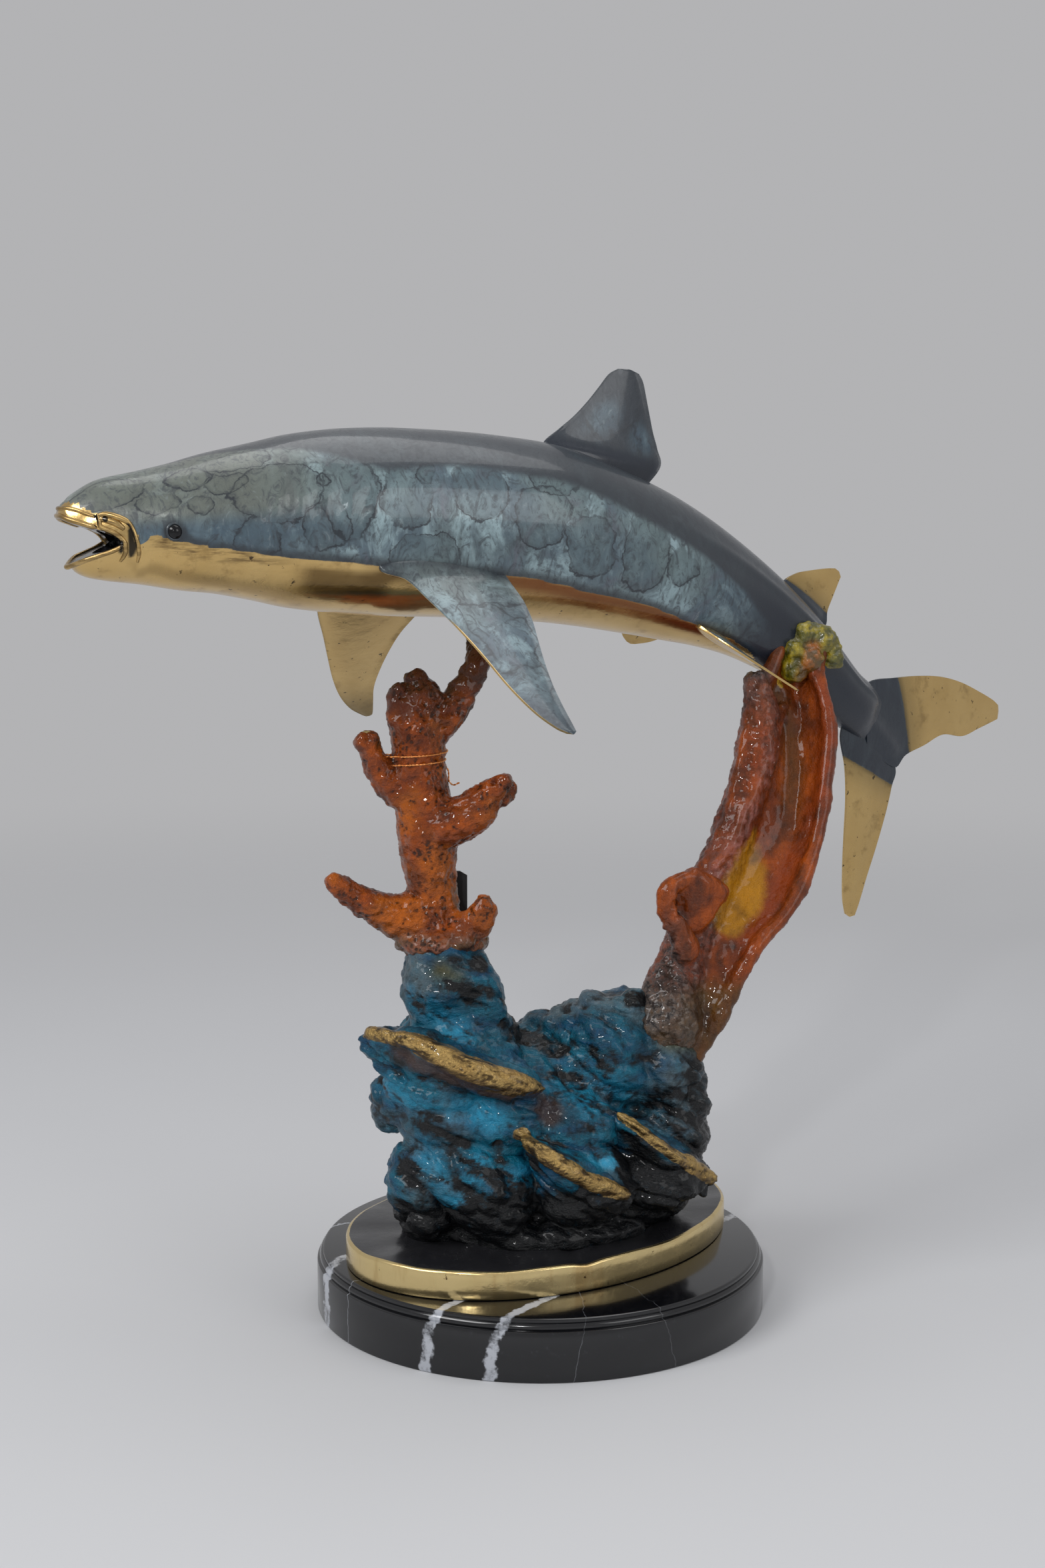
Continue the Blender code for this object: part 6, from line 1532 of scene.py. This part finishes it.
def shark_finish():
    mat, tree, shader = finish_of("shark_blue_and_gold_patina", 0.45, 0.08)
    here = spot(tree)
    hanging = spot(tree, (1.0, 1.0, 0.55))
    soft = grain(tree, here, 24, 4, 0.55)
    cloudy = grain(tree, hanging, 34, 5, 0.62, 1.6)
    fibre = grain(tree, hanging, 120, 5, 0.68, 2.4)
    fine = grain(tree, here, 330, 4, 0.7)
    line, inside = drips(tree, here)
    on_flank = step(tree, painted(tree, "run"), 0.0, 0.01)
    inside = times(tree, inside, on_flank)
    colour = blend(tree, step(tree, soft, 0.36, 0.64), srgb(88, 106, 116), srgb(112, 130, 132))
    pale = times(tree, step(tree, cloudy, 0.46, 0.66), calc(tree, "MULTIPLY_ADD", inside, -0.65, 1.0))
    colour = blend(tree, pale, colour, srgb(152, 176, 182))
    colour = blend(tree, step(tree, cloudy, 0.46, 0.30, 0.0, 0.6), colour, srgb(94, 92, 104))
    colour = blend(tree, times(tree, inside, 0.30), colour, srgb(76, 96, 100))
    colour = over(tree, colour, "slate", 0.75, srgb(66, 86, 100))
    colour = over(tree, colour, "olive", 0.8, srgb(104, 107, 96))
    colour = blend(tree, step(tree, fibre, 0.47, 0.66, 0.0, 0.72), colour, srgb(54, 60, 66))
    colour = blend(tree, step(tree, fibre, 0.42, 0.28, 0.0, 0.40), colour, srgb(150, 162, 164))
    # outlines of the drips, and of the cells on the fins
    bent = wander(tree, wander(tree, here, 30, 0.030), 130, 0.008)
    net = pebbles(tree, bent, 27, "DISTANCE_TO_EDGE").outputs["Distance"]
    cell = calc(tree, "MAXIMUM", step(tree, net, 0.006, 0.040, 0.9, 0.0), step(tree, net, 0.0, 0.16, 0.35, 0.0))
    cell = times(tree, cell, calc(tree, "MULTIPLY_ADD", on_flank, -0.72, 1.0))
    line = calc(tree, "MAXIMUM", times(tree, line, on_flank), cell)
    line = times(tree, line, step(tree, grain(tree, here, 60, 4, 0.6), 0.32, 0.55, 0.35, 1.0))
    line = times(tree, line, minus(tree, 1.0, painted(tree, "deep")))
    colour = blend(tree, times(tree, line, 0.9), colour, srgb(30, 36, 44))
    colour = blend(tree, step(tree, fine, 0.52, 0.74, 0.0, 0.25), colour, srgb(50, 58, 62))
    blotch = uneven(tree, cloudy, 0.9)
    back = step(tree, plus(tree, painted(tree, "dark"), times(tree, blotch, painted(tree, "dark"))), 0.25, 0.85)
    colour = blend(tree, times(tree, back, 0.93), colour, srgb(46, 51, 58))
    shade = step(tree, plus(tree, painted(tree, "shade"), blotch), 0.35, 1.05)
    colour = blend(tree, times(tree, shade, 0.85), colour, srgb(34, 39, 45))
    colour = over(tree, colour, "deep", 0.94, srgb(19, 28, 42))
    # gold underside, fins and lips
    gold = blend(tree, grain(tree, here, 30, 4, 0.6), srgb(196, 160, 96), srgb(228, 196, 132))
    gold = blend(tree, step(tree, grain(tree, here, 75, 5, 0.65), 0.52, 0.72, 0.0, 0.55), gold, srgb(150, 120, 70))
    speck = step(tree, grain(tree, here, 230, 3, 0.6), 0.665, 0.71, 0.0, 0.9)
    gold = blend(tree, speck, gold, srgb(52, 40, 26))
    streaks = spot(tree, (0.35, 0.9, 2.6), (0, radians(6), radians(-25)))
    feather = step(tree, grain(tree, streaks, 150, 4, 0.6), 0.42, 0.62)
    gold = over(tree, gold, "smudge", times(tree, feather, 0.75), srgb(74, 52, 30))
    # Brown over the gold: partly the patina's brown band, partly a painted reflection, olive-brown towards the
    # head and orange-brown towards the tail
    tan_and_reflection = blend(tree, step(tree, painted(tree, "run"), 0.40, 0.49), srgb(96, 70, 28), srgb(122, 64, 22))
    gold = over(tree, gold, "brown_and_reflection", 0.9, tan_and_reflection)
    gold = over(tree, gold, "deep", calc(tree, "MULTIPLY_ADD", on_flank, -0.8, 0.8), srgb(58, 56, 40))
    share = plus(tree, painted(tree, "gold"), uneven(tree, grain(tree, here, 140, 4, 0.7), 0.4))
    share = step(tree, share, 0.38, 0.62)
    share = calc(tree, "MAXIMUM", share, step(tree, painted(tree, "rub"), 0.4, 0.7))
    colour = blend(tree, share, colour, gold)
    colour = blend(tree, step(tree, painted(tree, "groove"), 0.1, 0.7, 0.0, 0.96), colour, srgb(16, 14, 12))
    fill(tree, shader.inputs["Base Color"], colour)
    fill(tree, shader.inputs["Metallic"], calc(tree, "MULTIPLY_ADD", share, 0.88, 0.08))
    rough = step(tree, fibre, 0.3, 0.7, 0.26, 0.42)
    polish = step(tree, soft, 0.3, 0.7, 0.18, 0.30)
    node = tree.nodes.new("ShaderNodeMix")
    fill(tree, node.inputs[0], share)
    fill(tree, node.inputs[2], rough)
    fill(tree, node.inputs[3], plus(tree, polish, times(tree, painted(tree, "smudge"), 0.14)))
    fill(tree, shader.inputs["Roughness"], node.outputs[0])
    fill(tree, shader.inputs["Normal"], bumps(tree, grain(tree, here, 60, 5, 0.6), 0.0009, 0.45))
    return mat


def mouth_finish():
    mat, tree, shader = finish_of("mouth_glossy_black", 0.6, 0.05)
    here = spot(tree)
    colour = blend(tree, step(tree, grain(tree, here, 120, 5, 0.6), 0.45, 0.7), srgb(14, 14, 16), srgb(70, 70, 76))
    fill(tree, shader.inputs["Base Color"], colour)
    shader.inputs["Roughness"].default_value = 0.25
    fill(tree, shader.inputs["Normal"], bumps(tree, grain(tree, here, 180, 4, 0.6), 0.002, 0.8))
    return mat


def eye_finish():
    mat, tree, shader = finish_of("eye_black_bead", 0.25, 0.03)
    here = spot(tree)
    fill(tree, shader.inputs["Base Color"], blend(tree, grain(tree, here, 300, 2), srgb(2, 2, 3), srgb(8, 8, 10)))
    shader.inputs["Roughness"].default_value = 0.12
    shader.inputs["Specular IOR Level"].default_value = 0.3
    return mat


def shape_eyes():
    bm = bmesh.new()
    for angle in EYE_ANGLES:
        boulder(bm, *body_point(EYE_DISTANCE, angle, -0.0018), EYE_RADIUS, EYE_RADIUS, EYE_RADIUS)
    return keep("shark_eyes", bm)


def shape_eye_rims():
    bm = bmesh.new()
    _, _, up, aft, _, _ = body_frame(EYE_DISTANCE)
    for angle in EYE_ANGLES:
        at = body_point(EYE_DISTANCE, angle, -0.0004)
        rim = [at + (aft * cos(2 * pi * k / 16) + up * sin(2 * pi * k / 16)) * EYE_RADIUS for k in range(17)]
        round_limb(bm, [(*p, 0.0009) for p in rim], 10, 48)
    bmesh.ops.recalc_face_normals(bm, faces=bm.faces)
    return keep("shark_eye_rims", bm)


# Wire tie and tag
def trunk_axis(z):
    rows = [(row[2], row[0], row[1], row[3]) for row in TRUNK]
    x, y, r = cubic(rows, z - Z_TOP)
    return Vector((x, y, z)), r


def shape_wire(coral):
    """Thin wire in two twisted strands, round the trunk and down to the tag."""
    bm = bmesh.new()
    bm.from_mesh(coral.data)
    tree = BVHTree.FromBMesh(bm)
    bm.free()
    low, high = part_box("hang_tag")
    hole = Vector(((low.x + high.x) / 2, (low.y + high.y) / 2, high.z - 0.0041))
    seat = hole + Vector((0.0, 0.0, 0.0008))
    points = [seat + Vector((0.0, 0.0034, 0.0032)), seat + Vector((0.0, 0.0026, 0.0008)), seat,
              seat + Vector((0.0, -0.0024, 0.0008)), seat + Vector((-0.0006, -0.0032, 0.0034))]
    top = Z_TOP + 0.2895 + 0.0115 / 2
    for k in range(1, 8):
        share = k / 8
        z = points[4].z + (top - points[4].z) * share
        middle, r = trunk_axis(z)
        x = points[4].x + (middle.x - points[4].x) * share
        y = points[4].y + (middle.y + r + 0.0022 - points[4].y) * min(1.0, 1.6 * share)
        points.append(Vector((x, y, z)))
    turns = []
    for k in range(91):
        a = pi / 2 - 2 * pi * 2.2 * k / 90
        middle, r = trunk_axis(top - 0.0115 * k / 90)
        ray = Vector((cos(a), sin(a), 0.0))
        hit = tree.ray_cast(middle + ray * (r + 0.006), -ray, r + 0.008)[0]
        turns.append((middle, ray, r if hit is None else (hit - middle).dot(ray)))
    for k, (middle, ray, r) in enumerate(turns):
        taut = max(row[2] for row in turns[max(k - 2, 0):k + 3])
        points.append(middle + ray * (taut + 0.00035))
    end = points[-1]
    points += [end + Vector((0.0016, -0.0004, -0.0030)), end + Vector((0.0018, -0.0006, -0.0085)),
               end + Vector((0.0044, -0.0008, -0.0112)), end + Vector((0.0082, -0.0010, -0.0098))]
    path = along([tuple(p) for p in points], 900)
    wire = bmesh.new()
    for phase in (0.0, pi):
        rows = []
        for i, p in enumerate(path):
            p = Vector(p)
            ahead = (Vector(path[min(i + 1, 900)]) - Vector(path[max(i - 1, 0)])).normalized()
            side = ahead.orthogonal().normalized()
            other = ahead.cross(side)
            turn = phase + i * 0.55
            rows.append((*(p + (side * cos(turn) + other * sin(turn)) * 0.00027), 0.00030))
        round_limb(wire, rows, 6, 900)
    return keep("copper_wire", wire)


def copper_finish():
    mat, tree, shader = finish_of("copper_wire_bare")
    here = spot(tree)
    colour = blend(tree, grain(tree, here, 400, 3), srgb(216, 130, 66), srgb(248, 184, 118))
    fill(tree, shader.inputs["Base Color"], colour)
    shader.inputs["Metallic"].default_value = 1.0
    shader.inputs["Roughness"].default_value = 0.3
    return mat


def plain_finish(name, low, high, metallic, rough, scale):
    mat, tree, shader = finish_of(name)
    here = spot(tree)
    speck = grain(tree, here, scale, 4, 0.6)
    fill(tree, shader.inputs["Base Color"], blend(tree, speck, low, high))
    shader.inputs["Metallic"].default_value = metallic
    fill(tree, shader.inputs["Roughness"], step(tree, speck, 0.3, 0.7, rough - 0.06, rough + 0.06))
    fill(tree, shader.inputs["Normal"], bumps(tree, speck, 0.0003, 0.4))
    return mat


# Stage
LENS = 53.57
CAMERA_PLACE = (0.0, -1.4157, 0.5277)
CAMERA_TURN = (81.95, 0.0, 0.45)
# Lamps: place, target, width and height, power
LAMPS = {
    "key": ((-1.5, -1.3, 1.9), (0.0, 0.0, 0.40), (1.3, 0.9), 26.0),
    "fill": ((1.7, -1.5, 1.2), (0.0, 0.0, 0.35), (1.2, 1.2), 9.0),
    "top": ((0.2, 0.3, 2.2), (0.0, 0.0, 0.40), (1.8, 1.2), 12.0),
    "glint": ((-0.35, -2.0, 1.15), (0.0, 0.0, 0.35), (0.12, 0.12), 8.0),
}
SKY_SEEN = (0.45, 0.45, 0.46)
SKY_LIGHT = (0.33, 0.33, 0.34)
FLOOR_RADIUS = 3.4


def camera_and_light():
    scene = bpy.context.scene
    data = bpy.data.cameras.new("camera")
    data.sensor_width = 36.0
    data.lens = LENS
    data.clip_end = 50.0
    camera = bpy.data.objects.new("camera", data)
    camera.location = CAMERA_PLACE
    camera.rotation_euler = [radians(turn) for turn in CAMERA_TURN]
    scene.collection.objects.link(camera)
    scene.camera = camera
    scene.view_settings.view_transform = "Standard"
    for name, (at, target, size, power) in LAMPS.items():
        light = bpy.data.lights.new(name, "AREA")
        light.shape = "RECTANGLE"
        light.size = size[0]
        light.size_y = size[1]
        light.energy = power
        lamp = bpy.data.objects.new(name, light)
        lamp.location = at
        lamp.rotation_euler = (Vector(target) - Vector(at)).to_track_quat("-Z", "Y").to_euler()
        scene.collection.objects.link(lamp)
    world = bpy.data.worlds.new("studio")
    scene.world = world
    world.use_nodes = True
    tree = world.node_tree
    rays = tree.nodes.new("ShaderNodeLightPath")
    seen = calc(tree, "MAXIMUM", rays.outputs["Is Camera Ray"], rays.outputs["Is Glossy Ray"])
    seen = calc(tree, "MAXIMUM", seen, rays.outputs["Is Transmission Ray"])
    sky = tree.nodes["Background"]
    fill(tree, sky.inputs["Color"], blend(tree, seen, SKY_LIGHT, SKY_SEEN))


def shape_stage():
    """Pale round floor that fades out into the studio's grey."""
    bm = bmesh.new()
    bmesh.ops.create_circle(bm, cap_ends=True, segments=96, radius=FLOOR_RADIUS)
    floor = keep("studio_floor", bm)
    mat, tree, shader = finish_of("pale_studio_floor")
    here = spot(tree)
    colour = blend(tree, grain(tree, here, 0.8, 3), srgb(204, 205, 208), srgb(212, 213, 215))
    fill(tree, shader.inputs["Base Color"], colour)
    shader.inputs["Roughness"].default_value = 0.9
    shader.inputs["Specular IOR Level"].default_value = 0.1
    away = vector(tree, "LENGTH", here)
    clear = tree.nodes.new("ShaderNodeBsdfTransparent")
    mixed = tree.nodes.new("ShaderNodeMixShader")
    fill(tree, mixed.inputs[0], step(tree, away.outputs["Value"], 0.6, 2.3))
    tree.links.new(shader.outputs[0], mixed.inputs[1])
    tree.links.new(clear.outputs[0], mixed.inputs[2])
    tree.links.new(mixed.outputs[0], tree.nodes["Material Output"].inputs["Surface"])
    floor.data.materials.append(mat)
    floor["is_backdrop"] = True


camera_and_light()
shape_stage()

patina = shark_finish()
mouth = mouth_finish()
body = shape_body()
colour_body(body)
body.data.materials[0] = patina
body.data.materials[1] = mouth
lips = shape_lips()
colour_body(lips, True)
paint(lips, "brown_and_reflection", 0.35 + 0.35 * cloud(places(lips), 140, 3, 3.0))
paint(lips, "smudge", np.full(len(lips.data.vertices), 0.6))
rims = shape_eye_rims()
colour_body(rims)
eyes = shape_eyes()
dress(eyes, eye_finish())
for piece in (lips, rims):
    dress(piece, patina)

fins = []
for name, origin, axes, thickness, gold_side in (
        ("dorsal_fin", body_point(0.290, 90), fin_axes(27.2, 11.3, 0), 0.011, 0),
        ("second_dorsal_fin", body_point(0.460, 90), fin_axes(36.5, 33.0, 0), 0.007, 2),
        ("tail_fin_upper", body_frame(BODY_LENGTH - 0.0035)[0], fin_axes(40.0, 38.7, 0), 0.0075, 2),
        ("tail_fin_lower", body_frame(BODY_LENGTH - 0.0035)[0], fin_axes(40.0, 38.7, 180), 0.0075, 2),
        ("pectoral_fin_left", body_point(0.1745, 334), fin_axes(25.4, 4.6, 130.3), 0.0095, 1),
        ("pectoral_fin_right", body_point(0.170, 219, 0.011), fin_axes(25.4, 4.6, -131.5), 0.0095, -1),
        ("pelvic_fin_left", body_point(0.402, 318), fin_axes(16.2, 32.0, 97.0), 0.0045, 1),
        ("pelvic_fin_right", body_point(0.381, 228), fin_axes(30.0, 17.0, -138.0), 0.0045, -1)):
    fin, co, out, share, side, far = shape_fin(name, origin, axes, thickness)
    rise = out / far
    none = np.zeros(len(co))
    if name == "dorsal_fin":
        blue = np.exp(-((rise - 0.42) / 0.24) ** 2 - ((share - 0.33) / 0.22) ** 2)
        blue = np.maximum(blue, np.exp(-((rise - 0.28) / 0.20) ** 2 - ((share - 0.82) / 0.14) ** 2))
        colour_fin(fin, none, slate=none + 1.0, dark=0.95 - 0.75 * blue, deep=0.8 * ease(0.14, 0.02, rise))
    elif gold_side == 2:
        start = 0.001
        if name == "tail_fin_upper":
            start = 0.030 - 0.55 * (share * 0.06 - 0.012)
        if name == "tail_fin_lower":
            start = 0.026 - 0.20 * (share * 0.06 - 0.02)
        gold = ease(start, start + 0.005, out)
        colour_fin(fin, gold, deep=1.0 - gold + 0.5 * ease(start + 0.02, start, out))
    elif name.startswith("pectoral"):
        gold = np.where(side == gold_side, 1.0, 0.0)
        colour_fin(fin, gold, deep=0.8 * ease(0.66, 1.0, rise) + 0.5 * ease(0.10, 0.0, rise),
                   rub=ease(0.030, 0.010, share) * ease(0.02, 0.06, out) * 0.9, slate=0.25 + 0.5 * rise,
                   olive=0.5 * ease(0.35, 0.0, rise), dark=0.5 * ease(0.06, 0.0, rise))
    else:
        gold = np.where(side == gold_side, 1.0, 0.0) * 0.9 + ease(0.30, 0.10, rise) * 0.7
        if name == "pelvic_fin_right":
            gold = none + 1.0
        colour_fin(fin, gold, rub=ease(0.04, 0.01, share), dark=none + 0.3)
    dress(fin, patina)
    fins.append(fin)

coral = shape_coral()
dress(coral, coral_finish())
kelp = shape_kelp()
dress(kelp, kelp_finish())
weld = shape_weld()
dress(weld, weld_finish())
rock = shape_rock()
dress(rock, rock_finish())
plinth = shape_plinth()
dress(plinth, plinth_finish())
marble = shape_marble()
dress(marble, marble_finish())
wire = shape_wire(coral)
dress(wire, copper_finish())

for piece in [body, lips, rims, eyes] + fins:
    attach(piece, "root")
for piece in (coral, kelp, weld, rock, plinth):
    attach(piece, "root")
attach(marble, "root")
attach(wire, "root")
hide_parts("shark_casting")
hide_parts("reef_casting")
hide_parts("marble_base")
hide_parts("wire_tie")

steel = plain_finish("zinc_plated_steel", srgb(150, 152, 154), srgb(196, 198, 200), 1.0, 0.34, 300)
card = plain_finish("black_card", srgb(10, 10, 11), srgb(26, 26, 28), 0.0, 0.6, 500)
for node, mat in (("bolt_left", steel), ("bolt_right", steel), ("washer_left", steel), ("washer_right", steel),
                  ("hang_tag", card)):
    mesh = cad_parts[node].data
    mesh.materials.clear()
    mesh.materials.append(mat)

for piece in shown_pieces():
    tag = piece.data.attributes.get("place")
    if tag is not None:
        piece.data.attributes.remove(tag)
